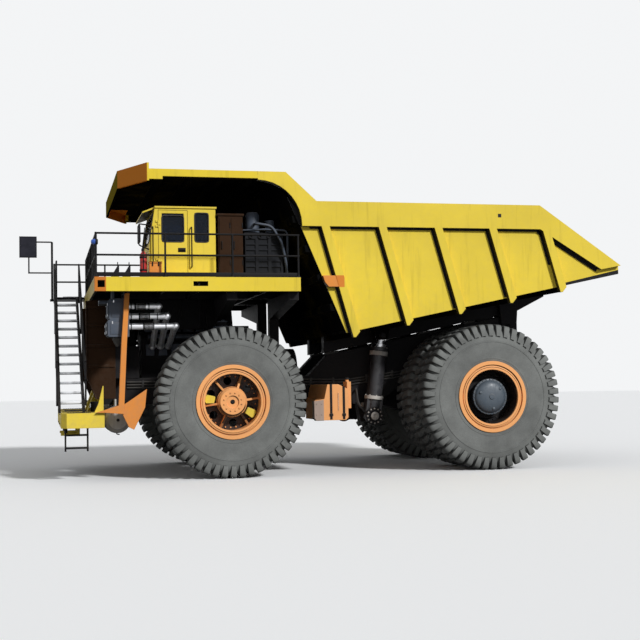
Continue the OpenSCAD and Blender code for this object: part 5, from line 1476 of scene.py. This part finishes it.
THIN_PIPE = ((-0.40, 2.70, 1.22), (-0.90, 2.95, 1.22), (-1.44, 2.95, 1.20), (-1.46, 2.86, 0.60),
             (-1.46, 2.60, 0.02))
for pipe, radius in ((THICK_PIPE, 0.036), (THIN_PIPE, 0.028)):
    machinery.tube([(x, y, DECK + z) for x, y, z in pipe], radius, 14, 0.12)
machinery.done()

# %% Slats and fans of the grid box
BAY = 0.720                  # from one bay of the grid box to the next
slats = Piece("grid_box_slats", "dark_paint", RIGHT)
slat = item(Piece("slat", "dark_paint", ORIGIN).plate(
    [(-0.012, -0.020), (0.034, 0.022), (0.040, 0.016), (-0.004, -0.026)], "x", 0.0, 0.660, 0.0))
for i in range(3):
    slats.grow(row, Item=slat, Count=23, Start=(-1.050 + BAY * i, 3.012, DECK + 0.235),
               Step=(0, 0, 0.0465))
    for x in (-1.055, -0.830, -0.610, -0.400):
        slats.box((x + BAY * i, 3.036, DECK + 0.20), (x + 0.012 + BAY * i, 3.048, DECK + 1.29), 0.002)
slats.done()
fans = Piece("grid_box_fans", "dark_paint", RIGHT)
for y in (1.720, 2.580):
    spot = (1.112, y, DECK + 0.760)
    fans.lathe([(0, 0.0), (0.075, 0.0), (0.080, 0.014), (0.060, 0.028), (0, 0.030)], spot, "x", 28)
    for r in (0.16, 0.23, 0.30, 0.365):
        fans.band(r - 0.004, r + 0.004, 0.028, 0.036, spot, "x", 64)
    for i in range(9):
        blade = spun(spot, 40 * i, "X") @ Matrix.Rotation(0.2, 4, "Z")
        fans.box((0.004, -0.045, 0.07), (0.010, 0.045, 0.36), 0.002, blade)
    for i in range(4):
        spoke = Matrix.Translation(spot) @ Matrix.Rotation(math.pi / 2 * i + 0.4, 4, "X")
        fans.box((0.030, -0.006, 0.05), (0.038, 0.006, 0.378), 0.0, spoke)
fans.done()

# %% [markdown]
# ## Studio
#
# The truck stands on a plain pale floor under a plain pale sky. The sun of the photo stood high
# behind the truck's left shoulder, so the key light is a soft sun from there, and the sky fills the
# shadows. The sky and the floor are pale only for what the eye sees directly or in a reflection: the
# light that they throw on the truck is weaker, as it is over dark ground.

# %% Sun and sky
SUN_FROM = Vector((-0.36, 0.66, 0.44))
SUN_STRENGTH, SUN_ANGLE = 2.70, math.radians(6.0)
SKY_FILL = 0.42
PALE_SKY = shade(0.90, 0.91, 0.92)
PALE_FLOOR, FLOOR_THROW = shade(0.97, 0.98, 0.99), shade(0.16, 0.16, 0.16)
FLOOR_RADIUS = 160.0


def seen_directly(tree):
    """1 for camera, mirror and glass rays, 0 for the light that surfaces throw on each other."""
    path = tree.tree.nodes.new("ShaderNodeLightPath")
    flags = [path.outputs[n] for n in ("Is Camera Ray", "Is Glossy Ray", "Is Transmission Ray")]
    return tree.maths("MAXIMUM", tree.maths("MAXIMUM", flags[0], flags[1]), flags[2])


sun = bpy.data.objects.new("sun", bpy.data.lights.new("sun", "SUN"))
bpy.context.scene.collection.objects.link(sun)
sun.data.energy = SUN_STRENGTH
sun.data.angle = SUN_ANGLE
sun.rotation_mode = "QUATERNION"
sun.rotation_quaternion = SUN_FROM.to_track_quat("Z", "Y")

world = bpy.data.worlds.new("sky")
bpy.context.scene.world = world
world.use_nodes = True
sky = Tree(world.node_tree)
background = world.node_tree.nodes["Background"]
sky.put(background, "Color", PALE_SKY)
sky.put(background, "Strength", sky.ramp(seen_directly(sky), 0, 1, SKY_FILL, 1.0))

# %% Floor
bpy.ops.mesh.primitive_circle_add(vertices=96, radius=FLOOR_RADIUS, fill_type="NGON", location=(0, 0, 0))
floor = bpy.context.object
floor.name = "floor"
ground = Surface("floor", Roughness=0.9, Specular__IOR__Level=0.1)
ground.give(Base__Color=ground.mix(seen_directly(ground), FLOOR_THROW, PALE_FLOOR))
floor.data.materials.append(ground.material)
bpy.context.scene.view_settings.view_transform = "Standard"
print("sun", SUN_STRENGTH, "sky", SKY_FILL)
